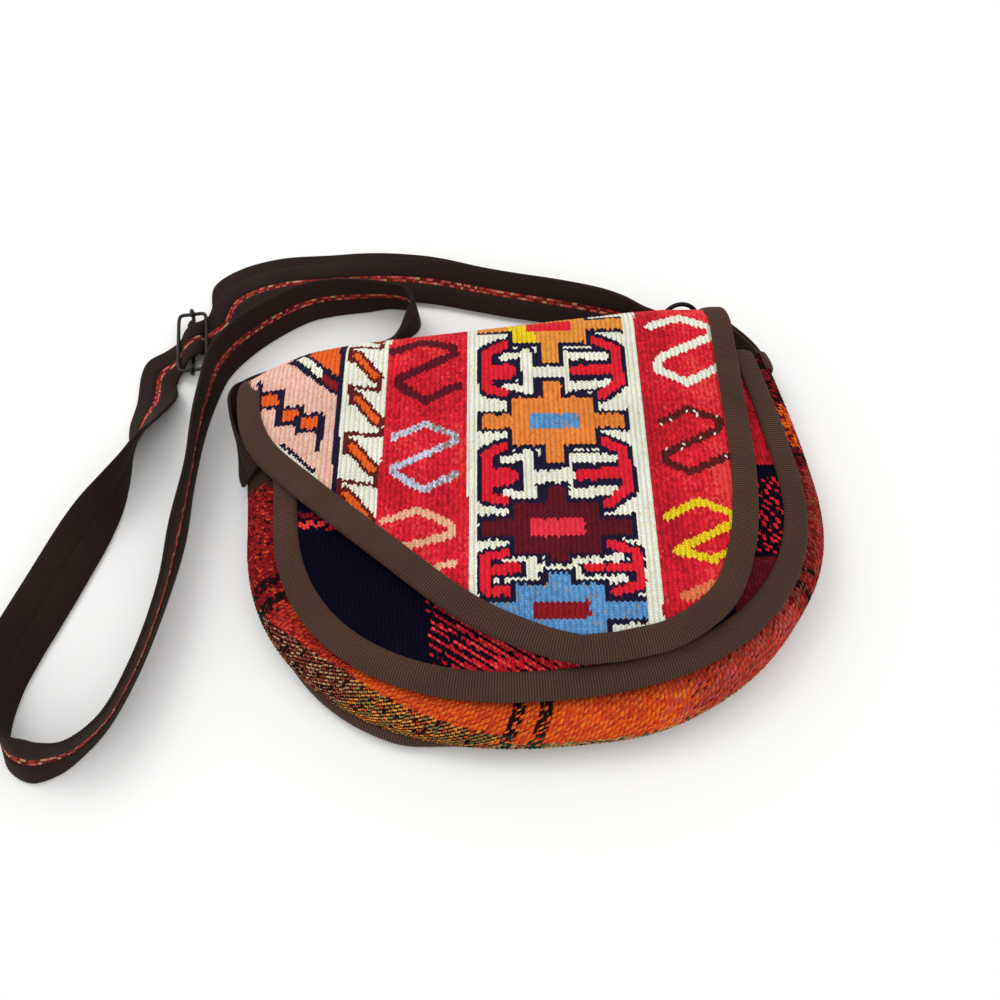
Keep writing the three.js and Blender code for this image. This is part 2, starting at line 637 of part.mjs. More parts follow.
/** Half turn of a band round the ring's wire: side is -1 at the ring's left, 1 at its right. */
function turnRoundRing(side, layer, width) {
  const spread = RING_WIRE_RADIUS + FIT_GAP + layer / 2 + 0.15;
  const rise = RING_RADIUS - Math.sqrt(RING_RADIUS ** 2 - (width / 2) ** 2);
  const middle = RING_CENTRE.clone();
  middle.x += side * (RING_RADIUS - rise - FIT_GAP);
  const lead = side * (3 * RING_WIRE_RADIUS + layer);
  const turn = [90, 45, 0, -45, -90].map((angle) => {
    const radians = THREE.MathUtils.degToRad(angle);
    const at = middle.clone().addScaledVector(ringAxis, spread * Math.sin(radians));
    at.x -= side * spread * Math.cos(radians);
    return { at, wide: ringUp, width };
  });
  const ends = [turn[0], turn[turn.length - 1]].map((place) => {
    const at = place.at.clone();
    at.x += lead;
    return { ...place, at };
  });
  return [ends[0], ...turn, ends[1]];
}

/** Places of one layer of the doubled run: 1 the sliding layer on top, -1 the returning one. */
function doubledRun(layer) {
  const pitch = (STRAP_THICKNESS + STRAP_LAYER_GAP) / 2;
  return STRAP_DOUBLED_RUN.map(([x, y, roll, width, slip], i) => {
    const heading = headingAt(STRAP_DOUBLED_RUN, i);
    const wide = widthDirection(heading, roll);
    const face = wide.clone().cross(heading);
    const height = restingHeight(roll, width, STRAP_THICKNESS + 2 * pitch);
    const at = new THREE.Vector3(x, y, height).addScaledVector(face, -layer * pitch);
    if (layer < 0) at.addScaledVector(wide, slip);
    return { at, wide, width };
  });
}

/** The end of the strap that is sewn round the slider's bar. */
function sewnEnd() {
  const barHeight = SLIDER_CENTRE.z - barDrop;
  const rise = SLIDER_WIRE_RADIUS + FIT_GAP + STRAP_THICKNESS / 2;
  const turn = SEWN_END_TURN.map((angle) => {
    const radians = THREE.MathUtils.degToRad(angle);
    return inSlider(rise * Math.cos(radians), barHeight + rise * Math.sin(radians), SEWN_END_SLIP);
  });
  const run = SEWN_END_RUN.map(([across, height]) => inSlider(across, height, SEWN_END_SLIP));
  return [...run, ...turn, inSlider(SEWN_END_TAIL, barHeight + rise, SEWN_END_SLIP)];
}

const barDrop = 2 * SLIDER_WIRE_RADIUS + FIT_GAP;

function strapGeometry() {
  const sliding = SLIDING_LAYER.map(([across, height]) => inSlider(across, height, SLIDING_SLIP));
  const places = [
    ...singleRun(), ...sliding, ...doubledRun(1),
    ...turnRoundRing(-1, STRAP_THICKNESS, STRAP_WIDTH_IN_RING),
    ...doubledRun(-1).reverse(), ...sewnEnd(),
  ];
  return band(places, STRAP_THICKNESS, STRAP_STEP);
}

/** Doubled ribbon from the gusset's right end round the ring's wire and back. */
function ringTab() {
  const { bulge, out } = gussetLine(frontGussetSeam[SEAM_STEPS], backGussetSeam[SEAM_STEPS]);
  const clear = RIBBON_STANDOFF + EDGE_EASE + FIT_GAP;
  const start = bulge[GUSSET_BULGE_STEPS / 2].clone().addScaledVector(rightEnd, clear);
  const end = RING_CENTRE.clone();
  end.x += TAB_LEAD;
  const route = TAB_SHARES.map((share) => {
    const bow = Math.sin(Math.PI * share);
    const place = start.clone().lerp(end, share).addScaledVector(out, TAB_BOW * bow);
    return place.addScaledVector(UP, -TAB_SAG * bow).toArray();
  });
  const layerAt = (layer) => route.map(([x, y, z], i) => {
    const share = i / route.length;
    const spread = THREE.MathUtils.lerp(TAB_LAYER / 2 + FIT_GAP, RING_WIRE_RADIUS + FIT_GAP, share);
    const wide = UP.clone().lerp(ringUp, share).normalize();
    const face = wide.clone().cross(headingAt(route, i)).normalize();
    return { at: new THREE.Vector3(x, y, z).addScaledVector(face, layer * spread), wide, width: TAB_WIDTH };
  });
  const places = [...layerAt(1), ...turnRoundRing(1, TAB_LAYER, TAB_WIDTH), ...layerAt(-1).reverse()];
  return band(places, TAB_LAYER, STRAP_STEP);
}

/** Closed wire loop of nearly rectangular outline. */
class SliderOutline extends THREE.Curve {
  getPoint(t, target = new THREE.Vector3()) {
    const angle = 2 * Math.PI * t;
    const power = 2 / SLIDER_SQUARENESS;
    const along = (value, half) => Math.sign(value) * half * Math.abs(value) ** power;
    const halfWidth = SLIDER_WIDTH / 2 - SLIDER_WIRE_RADIUS;
    const halfLength = SLIDER_LENGTH / 2 - SLIDER_WIRE_RADIUS;
    return target.set(along(Math.cos(angle), halfWidth), along(Math.sin(angle), halfLength), 0);
  }
}

function sliderFrame() {
  const wire = new SliderOutline();
  wire.arcLengthDivisions = 1000;
  return new THREE.TubeGeometry(wire, 36, SLIDER_WIRE_RADIUS, 8, true);
}

/** Middle bar of the slider, each end hooked up round a short side of the frame. */
function sliderBar() {
  const reach = SLIDER_LENGTH / 2 - SLIDER_WIRE_RADIUS;
  const hook = [270, 315, 0, 45, 90, 135, 165].map((angle) => {
    const radians = THREE.MathUtils.degToRad(angle);
    return new THREE.Vector3(0, reach + barDrop * Math.cos(radians), barDrop * Math.sin(radians));
  });
  hook.unshift(new THREE.Vector3(0, reach * 0.8, -barDrop), new THREE.Vector3(0, reach * 0.9, -barDrop));
  const other = hook.map(({ y, z }) => new THREE.Vector3(0, -y, z)).reverse();
  const path = new THREE.CatmullRomCurve3([...other, ...hook], false, "centripetal");
  const section = new THREE.Shape().absarc(0, 0, SLIDER_WIRE_RADIUS, 0, 2 * Math.PI);
  const sweep = { extrudePath: path, steps: 36, curveSegments: 4, bevelEnabled: false };
  return new THREE.ExtrudeGeometry(section, sweep);
}

/** Named mesh of one piece. */
function piece(name, geometry, colour) {
  const mesh = new THREE.Mesh(geometry, finish(colours[colour]));
  mesh.name = name;
  return mesh;
}

const bag = new THREE.Group();
const stackMiddle = (FIT_GAP + GUSSET_THICKNESS) / 2;
bag.add(
  piece("back_and_flap_panel", sheet(backAndFlapGrid, KILIM_THICKNESS), "kilim"),
  piece("front_panel", sheet(panelRows(frontSeam, frontLevel), KILIM_THICKNESS), "frontWool"),
  piece("gusset", gussetGeometry(), "gussetWool"),
  piece("front_seam_binding", binding(frontSeam.map(frontFrame), SEAM_STACK, -stackMiddle), "ribbon"),
  piece("back_seam_binding", binding(backSeam.map(backFrame), SEAM_STACK, stackMiddle), "ribbon"),
  piece("flap_binding", flapBinding(), "ribbon"),
  piece("mouth_binding", mouthBinding(), "ribbon"),
  piece("gusset_end_binding_left", gussetEndBinding(0, leftEnd), "ribbon"),
  piece("gusset_end_binding_right", gussetEndBinding(SEAM_STEPS, rightEnd), "ribbon"),
  piece("ring_tab", ringTab(), "ribbon"),
  piece("strap", strapGeometry(), "strap"),
);

const ringWire = new THREE.TorusGeometry(RING_RADIUS, RING_WIRE_RADIUS, 8, 32);
const ring = piece("strap_ring", ringWire, "blackWire");
ring.position.copy(RING_CENTRE);
ring.quaternion.setFromUnitVectors(UP, ringAxis);
bag.add(ring);

const slider = new THREE.Group();
slider.position.copy(SLIDER_CENTRE);
slider.rotation.z = SLIDER_TURN;
slider.add(piece("slider_frame", sliderFrame(), "gunmetal"), piece("slider_bar", sliderBar(), "gunmetal"));
bag.add(slider);

export default bag;
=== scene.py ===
"""Kilim crossbody bag lying on its back: woven panels, ribbon-bound seams, strap, slider and ring.

Every piece is made in metres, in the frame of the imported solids, and rides on the body that
carries it. Patterns are charted in millimetres of cloth, as a weaver counts them.
"""
import logging
import math
from dataclasses import dataclass, replace
from enum import Enum
from typing import Callable, Iterator, Sequence

import bmesh
import bpy
import numpy as np
from bmesh.types import BMesh, BMVert
from bpy.types import Material, Node, NodeSocket, NodeTree, Object
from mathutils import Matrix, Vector


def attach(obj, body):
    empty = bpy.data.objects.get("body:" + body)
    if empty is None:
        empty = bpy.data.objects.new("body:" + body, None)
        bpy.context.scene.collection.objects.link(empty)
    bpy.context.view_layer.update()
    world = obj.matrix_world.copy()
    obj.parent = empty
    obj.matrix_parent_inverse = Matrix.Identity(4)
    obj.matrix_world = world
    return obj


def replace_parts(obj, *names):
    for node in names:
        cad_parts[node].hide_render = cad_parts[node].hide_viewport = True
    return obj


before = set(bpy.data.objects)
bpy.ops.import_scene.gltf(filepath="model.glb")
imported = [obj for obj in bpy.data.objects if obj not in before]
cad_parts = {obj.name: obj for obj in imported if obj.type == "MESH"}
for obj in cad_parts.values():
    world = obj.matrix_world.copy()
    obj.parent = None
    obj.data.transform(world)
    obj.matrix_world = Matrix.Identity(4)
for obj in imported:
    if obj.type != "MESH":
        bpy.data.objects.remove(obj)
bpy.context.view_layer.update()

log = logging.getLogger("bag")

Array = np.ndarray
Surface = Callable[[Array, Array, Array], Array]
Rule = Callable[[Array, Array], Array]
Points = Sequence[tuple[float, ...]]
Pair = tuple[float, float]
Place = tuple[float, float, float]

MM = 0.001
UP = np.array((0.0, 0.0, 1.0))
RIGHT = np.array((1.0, 0.0, 0.0))
BAG = "bag"
RING = "ring"
SHADE = "shade"
SLOPE_STEP = 0.0005
WIRE_SIDES = 16


class Yarn(Enum):
    """Dyed wool yarns, each by its colour on the screen."""

    RED = "dc1f30"
    DEEP_RED = "bb1a2a"
    BRIGHT_RED = "f33245"
    MAROON = "5c1320"
    WINE = "86171f"
    NAVY = "1b1530"
    CREAM = "fff6d6"
    ORANGE = "f0843a"
    HOT_ORANGE = "ee5f22"
    GOLD = "ec923b"
    YELLOW = "f7c81e"
    BLUE = "5a91c4"
    LILAC = "c2c6dc"
    GREY = "8f8780"
    SALMON = "f6ad8a"
    PINK = "f4b6a4"
    BROWN = "611d1a"
    DARK_BROWN = "5a1a1a"
    BLACK_NAVY = "0b0819"
    BRICK = "b03527"
    RUST = "cf451d"
    EMBER = "f0701f"
    OLIVE = "8a7440"
    BOTTLE = "16332a"
    TAN = "b98a62"
    SOOT = "1d1310"
    PEAT = "3a2a23"
    ROSE = "c0504e"
    RUSSET = "8c4034"
    CORAL = "f07c52"
    CRIMSON = "b5172b"
    FLAME = "f2403f"

    @property
    def linear(self) -> Array:
        """Scene-linear colour."""
        return linear_colour(self.value)


def linear_colour(code: str) -> Array:
    """Scene-linear red, green and blue of a screen colour in six hexadecimal digits."""
    screen = np.array([int(code[i:i + 2], 16) for i in (0, 2, 4)]) / 255.0
    return np.where(screen <= 0.04045, screen / 12.92, ((screen + 0.055) / 1.055) ** 2.4)


def unit(vectors: Array) -> Array:
    """Scale vectors to length one along their last axis."""
    return vectors / np.maximum(np.linalg.norm(vectors, axis=-1, keepdims=True), 1e-12)


def smooth_step(value: Array, low: float, high: float) -> Array:
    """Rise smoothly from 0 at low to 1 at high."""
    share = np.clip((value - low) / (high - low), 0.0, 1.0)
    return share * share * (3.0 - 2.0 * share)


def spline(points: Array, per_span: int, place: int = 3) -> Array:
    """Draw a smooth curve through points.

    Args:
        points: One row a point; columns past the place, such as a width, are carried along.
        per_span: Rows made for each span.
        place: Number of columns that give the point's place.

    Returns:
        Rows along the curve, the last point included.
    """
    spans = np.linalg.norm(np.diff(points[:, :place], axis=0), axis=1) ** 0.5
    knots = np.concatenate([[0.0], np.cumsum(spans)])
    rows = np.vstack([2 * points[0] - points[1], points, 2 * points[-1] - points[-2]])
    times = np.concatenate([[-spans[0]], knots, [knots[-1] + spans[-1]]])
    drawn = []
    for i in range(1, len(rows) - 2):
        t0, t1, t2, t3 = times[i - 1:i + 3]
        p0, p1, p2, p3 = rows[i - 1:i + 3]
        t = np.linspace(t1, t2, per_span, endpoint=False)[:, None]
        a1 = (t1 - t) / (t1 - t0) * p0 + (t - t0) / (t1 - t0) * p1
        a2 = (t2 - t) / (t2 - t1) * p1 + (t - t1) / (t2 - t1) * p2
        a3 = (t3 - t) / (t3 - t2) * p2 + (t - t2) / (t3 - t2) * p3
        b1 = (t2 - t) / (t2 - t0) * a1 + (t - t0) / (t2 - t0) * a2
        b2 = (t3 - t) / (t3 - t1) * a2 + (t - t1) / (t3 - t1) * a3
        drawn.append((t2 - t) / (t2 - t1) * b1 + (t - t1) / (t2 - t1) * b2)
    return np.vstack([*drawn, points[-1:]])


def lengths_along(points: Array, place: int = 3) -> Array:
    """Distance along a line of points, from its start to each of them."""
    steps = np.linalg.norm(np.diff(points[:, :place], axis=0), axis=1)
    return np.concatenate([[0.0], np.cumsum(steps)])


def read_along(wanted: Array, along: Array, rows: Array) -> Array:
    """Rows of a line at wanted distances along it."""
    return np.column_stack([np.interp(wanted, along, column) for column in rows.T])


def spaced(points: Array, count: int, place: int = 3) -> Array:
    """Space a number of rows evenly along a line, measured in its columns of place."""
    along = lengths_along(points, place)
    return read_along(np.linspace(0.0, along[-1], count), along, points)


def resample(points: Array, step: float, place: int = 3) -> Array:
    """Space a line's rows evenly, as near to a step as its length allows."""
    return spaced(points, max(2, round(lengths_along(points, place)[-1] / step) + 1), place)


def tangents(points: Array) -> Array:
    """Unit directions along a line of points."""
    return unit(np.gradient(points, axis=0))


def slope_normal(level: Rule, x: Array, y: Array) -> Array:
    """Upward normals of a surface.

    Args:
        level: Gives the surface's height.
        x: Places across.
        y: Places along.

    Returns:
        Array of places x 3.
    """
    rise_x = (level(x + SLOPE_STEP, y) - level(x - SLOPE_STEP, y)) / (2 * SLOPE_STEP)
    rise_y = (level(x, y + SLOPE_STEP) - level(x, y - SLOPE_STEP)) / (2 * SLOPE_STEP)
    return unit(np.column_stack([-rise_x, -rise_y, np.ones_like(x)]))


def spanned(lefts: Array, rights: Array, columns: int) -> Array:
    """Rows of plan points from left ends to right ones."""
    shares = np.linspace(0.0, 1.0, columns + 1)[:, None]
    return lefts[:, None] + (rights - lefts)[:, None] * shares


def lifted(plan: Array, level: Rule) -> Array:
    """Plan points with their heights on a surface."""
    return np.concatenate([plan, level(plan[..., 0], plan[..., 1])[..., None]], axis=-1)


def heading_at(angle: float) -> Array:
    """Level direction at an angle from the right."""
    return np.array((math.cos(angle), math.sin(angle), 0.0))


def alternating(count: int, rib: float, groove: float) -> Array:
    """Values along a ribbed band, in turn for its ribs and its grooves."""
    return np.where(np.arange(count) % 2 == 0, rib, groove)


def new_grid(across: int, down: int) -> BMesh:
    """Make a flat grid of unit size about the origin."""
    mesh = bmesh.new()
    bmesh.ops.create_grid(mesh, x_segments=across, y_segments=down, size=0.5)
    return mesh


def grid_values(mesh: BMesh, values: Array) -> Iterator[tuple[BMVert, Array]]:
    """Go through the vertices of a fresh grid, each with its own of rows x columns of values."""
    down, across = values.shape[0] - 1, values.shape[1] - 1
    for vertex in mesh.verts:
        yield vertex, values[round((vertex.co.y + 0.5) * down), round((vertex.co.x + 0.5) * across)]


def place_grid(mesh: BMesh, places: Array) -> None:
    """Move the vertices of a fresh grid to their places."""
    for vertex, place in grid_values(mesh, places):
        vertex.co = place


def shade_grid(mesh: BMesh, shades: Array) -> None:
    """Note the painted shade and highlight at the vertices of a fresh grid."""
    layer = mesh.verts.layers.float.new(SHADE)
    for vertex, shade in grid_values(mesh, shades):
        vertex[layer] = shade


def skin(sections: Array, capped: bool = True, shades: Array | None = None) -> BMesh:
    """Skin a run of equal closed sections.

    Args:
        sections: Array of stations x points x 3.
        capped: Close both ends.
        shades: Painted shade and highlight of the ribs at each station, or None for a plain finish without
            painted shade.

    Returns:
        A mesh whose faces point outwards.
    """
    closed = np.concatenate([sections, sections[:, :1]], axis=1)
    mesh = new_grid(closed.shape[1] - 1, closed.shape[0] - 1)
    if shades is not None:
        shade_grid(mesh, np.tile(shades[:, None], (1, closed.shape[1])))
    place_grid(mesh, closed)
    bmesh.ops.remove_doubles(mesh, verts=mesh.verts[:], dist=1e-7)
    if capped:
        rim = [edge for edge in mesh.edges if edge.is_boundary]
        bmesh.ops.holes_fill(mesh, edges=rim, sides=0)
    bmesh.ops.recalc_face_normals(mesh, faces=mesh.faces[:])
    return mesh


def add_object(name: str, data: bpy.types.ID) -> Object:
    """Put new data into the scene as an object."""
    item = bpy.data.objects.new(name, data)
    bpy.context.scene.collection.objects.link(item)
    return item


def finished_piece(name: str, mesh: BMesh, material: Material, body: str = BAG) -> Object:
    """Make a smooth-shaded piece that rides on a body.

    Args:
        name: The piece's name.
        mesh: Its form, freed here.
        material: Its finish.
        body: What carries it.

    Returns:
        The new object, at the origin.
    """
    data = bpy.data.meshes.new(name)
    mesh.to_mesh(data)
    mesh.free()
    data.shade_smooth()
    data.materials.append(material)
    piece = add_object(name, data)
    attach(piece, body)
    log.info("%s: %d faces", name, len(data.polygons))
    return piece


@dataclass(frozen=True)
class Outline:
    """D-shaped cut edge of one panel: its shift to the side and its drop below the widest line."""

    shift: float
    drop: float


@dataclass(frozen=True)
class Frames:
    """Section frames along an edge: places with outward and normal directions."""

    origin: Array
    outward: Array
    normal: Array

    def at(self, outward: Array | float, height: Array | float) -> Array:
        """Points at outward distances and heights in every frame."""
        reach = np.asarray(outward)[..., None]
        rise = np.asarray(height)[..., None]
        return self.origin + self.outward * reach + self.normal * rise

    def sections(self, outward: Array, height: Array) -> Array:
        """Rows of points, one row a frame, from their outward distances and heights."""
        reach = self.outward[:, None] * outward[..., None]
        return self.origin[:, None] + reach + self.normal[:, None] * height[..., None]


@dataclass(frozen=True)
class Pouch:
    """Sizes and levels of the bag, as it lies on the table."""

    half_width: float = 0.124
    roundness: float = 2.3
    mouth_y: float = 0.078
    mouth_lean: float = -0.005
    front: Outline = Outline(0.0, 0.099)
    back: Outline = Outline(-0.009, 0.110)
    kilim: float = 0.0026
    wool: float = 0.0022
    ribbon: float = 0.0008
    leaf: float = 0.0114
    gap: float = 0.0003
    ease: float = 0.0005
    edge_height: float = 0.028
    crown: float = 0.006
    crown_reach: float = 0.060
    dish_start: float = 0.016
    dish_end: float = 0.034
    bulge: float = 0.010
    swell: float = 0.001
    flap_clearance: float = 0.0006
    fold_y: float = 0.086
    fold_slant: float = 0.045
    fold_corner_drop: float = 0.009
    fold_corner_reach: float = 0.042
    flap_left: float = -0.142
    flap_right: float = 0.110

    EDGE_STEP = 0.0005
    SIDE_STEPS = 60
    BOTTOM_STEPS = 600

    @property
    def standoff(self) -> float:
        """Height of a ribbon's outside above the cloth it covers."""
        return self.gap + self.ribbon

    @property
    def flap_lift(self) -> float:
        """Height of the flap's middle above the front panel's."""
        return self.kilim + 2 * self.standoff + self.ease + self.flap_clearance

    @property
    def back_edge(self) -> float:
        """Middle height of the back panel's edge."""
        return self.standoff + self.kilim / 2 + self.ease

    @property
    def seam_stack(self) -> float:
        """Thickness of panel and gusset together in a seam."""
        return self.kilim + self.gap + self.wool

    @property
    def leg_level(self) -> float:
        """Distance from a panel's middle to the gusset's where it comes out of the seam."""
        turn = (self.wool + self.ribbon + 2 * self.gap) / 2
        return self.kilim / 2 + self.gap + self.wool / 2 + 2 * turn

    def lean(self, y: Array) -> Array:
        """Sideways lean of the pouch at a height of its outline."""
        return np.where(y > 0, self.mouth_lean * (y / self.mouth_y) ** 2, 0.0)

    def depth(self, outline: Outline, x: Array, y: Array) -> Array:
        """How far inside a panel's outline points lie.

        Args:
            outline: Which panel.
            x: Places across.
            y: Places along.

        Returns:
            Distances, below 0 outside.
        """
        across = np.abs(x - outline.shift - self.lean(y)) / self.half_width
        down = np.maximum(-y, 0.0) / outline.drop
        share = (across ** self.roundness + down ** self.roundness) ** (1 / self.roundness)
        return (1.0 - share) * self.half_width

    def front_level(self, x: Array, y: Array) -> Array:
        """Middle height of the crowned front panel."""
        share = np.minimum(self.depth(self.front, x, y) / self.crown_reach, 1.0)
        return self.edge_height + self.crown * (1.0 - (1.0 - share) ** 2)

    def back_level(self, x: Array, y: Array) -> Array:
        """Middle height of the back panel."""
        share = smooth_step(self.depth(self.back, x, y), self.dish_start, self.dish_end)
        return self.back_edge + (self.kilim / 2 - self.back_edge) * share

    def flap_level(self, x: Array, y: Array) -> Array:
        """Middle height of the flap, which follows the front panel below it."""
        return self.front_level(x, y) + self.flap_lift

    def fold_line(self, x: Array) -> Array:
        """Line where the back panel turns over into the flap."""
        return self.fold_y + self.fold_slant * x

    def flap_line(self, x: Array) -> Array:
        """Line where the fold ends and the flap begins, rounded off at the flap's left corner."""
        near = np.clip(1 - (x - self.flap_left) / self.fold_corner_reach, 0.0, 1.0)
        return self.fold_line(x) - self.fold_corner_drop * near ** 2

    def fold_radius(self, x: Array) -> Array:
        """Radius of the fold's turn, from the back panel's level up to the flap's."""
        return (self.flap_level(x, self.flap_line(x)) - self.back_level(x, self.fold_line(x))) / 2

    @property
    def out_of_end(self) -> Array:
        """Direction in which the gusset's upper ends point, with the lean of the mouth."""
        return unit(np.array((2 * self.mouth_lean / self.mouth_y, 1.0, 0.0)))

    def cut_edge(self, outline: Outline, step: float) -> Array:
        """Evenly spaced points of a panel's cut edge, from the left of the mouth to the right.

        Args:
            outline: Which panel.
            step: Spacing wanted.

        Returns:
            Array of points x 2.
        """
        sides = np.linspace(self.mouth_y, 0.0, self.SIDE_STEPS, endpoint=False)
        angle = np.linspace(0.0, math.pi, self.BOTTOM_STEPS)
        power = 2 / self.roundness
        x = -np.sign(np.cos(angle)) * self.half_width * np.abs(np.cos(angle)) ** power
        bottom = np.column_stack([outline.shift + x, -outline.drop * np.sin(angle) ** power])
        left = np.column_stack([outline.shift - self.half_width + self.lean(sides), sides])
        right = np.column_stack([outline.shift + self.half_width + self.lean(sides), sides])
        return resample(np.vstack([left, bottom, right[::-1]]), step, 2)

    def seam_length(self, outline: Outline) -> float:
        """Length of a panel's cut edge, to the millimetre."""
        return len(self.cut_edge(outline, MM)) * MM

    def seam(self, outline: Outline, count: int) -> tuple[Array, Array]:
        """Places and outward directions along a seam.

        Args:
            outline: Which panel.
            count: Number of places.

        Returns:
            Points and unit outward directions, each count x 3, at height 0.
        """
        edge = self.cut_edge(outline, self.EDGE_STEP)
        wanted = np.linspace(0, len(edge) - 1, count)
        point = np.column_stack([read_along(wanted, np.arange(len(edge)), edge), np.zeros(count)])
        along = tangents(point)
        return point, np.column_stack([along[:, 1], -along[:, 0], np.zeros(count)])

    def between_seams(self, count: int) -> tuple[Array, Array]:
        """How the two seams lie beside each other.

        Args:
            count: Number of places.

        Returns:
            The way out, count x 3, and how far the back's seam lies outside the front's.
        """
        (inner, inner_out), (outer, outer_out) = self.seam(self.front, count), self.seam(self.back, count)
        out = unit(inner_out + outer_out)
        return out, ((outer - inner) * out).sum(axis=1)

    def front_frames(self, count: int) -> Frames:
        """Frames of the front seam, tilted with the front panel's slope.

        Args:
            count: Number of places.

        Returns:
            Frames from the left of the mouth to the right.
        """
        point, out = self.seam(self.front, count)
        inner = point - out * self.leaf
        level = self.front_level(point[:, 0], point[:, 1])
        tilt = np.arctan2(level - self.front_level(inner[:, 0], inner[:, 1]), self.leaf)[:, None]
        origin = point + UP * level[:, None]
        outward = out * np.cos(tilt) + UP * np.sin(tilt)
        return Frames(origin, outward, UP * np.cos(tilt) - out * np.sin(tilt))

    def back_frames(self, count: int) -> Frames:
        """Frames of the back seam, flat on the table."""
        point, out = self.seam(self.back, count)
        return Frames(point + UP * self.back_edge, out, np.broadcast_to(UP, out.shape))


def feed(tree: NodeTree, node: Node, inputs: dict) -> None:
    """Fill a node's inputs.

    Args:
        tree: What holds the node.
        node: The node to fill.
        inputs: By the input's name or number, a socket to link or a value to set.
    """
    for key, value in inputs.items():
        if isinstance(value, NodeSocket):
            tree.links.new(value, node.inputs[key])
        else:
            node.inputs[key].default_value = value


def add_node(tree: NodeTree, kind: str, inputs: dict, **settings: object) -> Node:
    """Add a shader node.

    Args:
        tree: What holds it.
        kind: Its type.
        inputs: What goes in, as for feed.
        settings: Its other properties.

    Returns:
        The new node.
    """
    node = tree.nodes.new(kind)
    for key, value in settings.items():
        setattr(node, key, value)
    feed(tree, node, inputs)
    return node


def add_noise(tree: NodeTree, scale: float | NodeSocket, detail: float) -> Node:
    """Add a noise over the piece's own coordinates."""
    place = add_node(tree, "ShaderNodeTexCoord", {}).outputs["Object"]
    return add_node(tree, "ShaderNodeTexNoise", {"Vector": place, "Scale": scale, "Detail": detail})


def spread(tree: NodeTree, noise: Node, taken: Pair, given: Pair) -> NodeSocket:
    """Spread the values of a noise, from the two taken to the two given."""
    inputs = {"From Min": taken[0], "From Max": taken[1], "To Min": given[0], "To Max": given[1]}
    return add_node(tree, "ShaderNodeMapRange", {"Value": noise.outputs["Fac"], **inputs}).outputs["Result"]


def new_material(name: str) -> tuple[Material, NodeTree, Node]:
    """Start a material; gives it with its tree and its shader."""
    material = bpy.data.materials.new(name)
    material.use_nodes = True
    return material, material.node_tree, material.node_tree.nodes["Principled BSDF"]


def opaque(code: str) -> tuple[float, ...]:
    """Scene-linear colour with full cover."""
    return (*linear_colour(code), 1.0)


FIBRE_DETAIL = 3.0
FIBRE_ROUGHNESS = 0.65
WEAR = (45.0, 4.0)
SMEARS = (220.0, 4.0)
NOISE_MIDDLE = (0.3, 0.7)
SMEAR_MIDDLE = (0.35, 0.65)
FIBRE_SHADES = (0.7, 1.22)
WEAR_SHADES = (0.9, 1.1)


def wool_fuzz() -> NodeTree:
    """Build the fuzz of spun wool, once: a mottled tint and a fine hairy height.

    Returns:
        A group with a colour and a grain scale in, and a colour and a height out.
    """
    name = "wool_fuzz"
    if name in bpy.data.node_groups:
        return bpy.data.node_groups[name]
    tree = bpy.data.node_groups.new(name, "ShaderNodeTree")
    for way, second in (("INPUT", "Grain"), ("OUTPUT", "Height")):
        tree.interface.new_socket("Colour", in_out=way, socket_type="NodeSocketColor")
        tree.interface.new_socket(second, in_out=way, socket_type="NodeSocketFloat")
    into = add_node(tree, "NodeGroupInput", {})
    fibres = add_noise(tree, into.outputs["Grain"], FIBRE_DETAIL)
    fibres.inputs["Roughness"].default_value = FIBRE_ROUGHNESS
    light = spread(tree, fibres, NOISE_MIDDLE, FIBRE_SHADES)
    patches = spread(tree, add_noise(tree, *WEAR), NOISE_MIDDLE, WEAR_SHADES)
    both = add_node(tree, "ShaderNodeMath", {0: light, 1: patches}, operation="MULTIPLY").outputs["Value"]
    dyed = {0: into.outputs["Colour"], "Scale": both}
    tint = add_node(tree, "ShaderNodeVectorMath", dyed, operation="SCALE").outputs["Vector"]
    add_node(tree, "NodeGroupOutput", {"Colour": tint, "Height": fibres.outputs["Fac"]})
    return tree


@dataclass(frozen=True)
class ClothFinish:
    """Finish of a cloth: one colour, or the colours that its stitches carry."""

    name: str
    colour: str | None = None
    roughness: float = 0.88
    sheen: float = 0.25
    grain: float = 1500.0
    bump: float = 0.35
    depth: float = 0.0004
    gloss: float = 0.2
    # Multiplies the colour by the painted rib shade: painted highlight on the ribs, painted shade in the
    # grooves.
    ribbed: bool = False

    def material(self) -> Material:
        """Build the material, once.

        Returns:
            A fuzzy, matt cloth.
        """
        if self.name in bpy.data.materials:
            return bpy.data.materials[self.name]
        material, tree, shader = new_material(self.name)
        fuzz = add_node(tree, "ShaderNodeGroup", {}, node_tree=wool_fuzz())
        feed(tree, fuzz, {"Colour": self._colour(tree), "Grain": self.grain})
        relief = {"Strength": self.bump, "Distance": self.depth, "Height": fuzz.outputs["Height"]}
        feed(tree, shader, {
            "Base Color": fuzz.outputs["Colour"],
            "Normal": add_node(tree, "ShaderNodeBump", relief).outputs["Normal"],
            "Roughness": self.roughness,
            "Sheen Weight": self.sheen,
            "Sheen Roughness": 0.5,
            "Specular IOR Level": self.gloss,
        })
        return material

    def _colour(self, tree: NodeTree) -> NodeSocket | tuple[float, ...]:
        """Colour that goes into the fuzz: the stitches' own with their painted shade, one darkened by painted
        rib shade, or a plain one.

        Args:
            tree: What holds the nodes.

        Returns:
            A socket to link or a colour to set.
        """
        if self.colour is None:
            return add_node(tree, "ShaderNodeAttribute", {}, attribute_name=Weave.ATTRIBUTE).outputs["Color"]
        if not self.ribbed:
            return opaque(self.colour)
        # Painted rib shade darkens the colour in the grooves and brightens it on the ribs.
        ribs = add_node(tree, "ShaderNodeAttribute", {}, attribute_name=SHADE).outputs["Fac"]
        shaded = {0: linear_colour(self.colour), "Scale": ribs}
        return add_node(tree, "ShaderNodeVectorMath", shaded, operation="SCALE").outputs["Vector"]


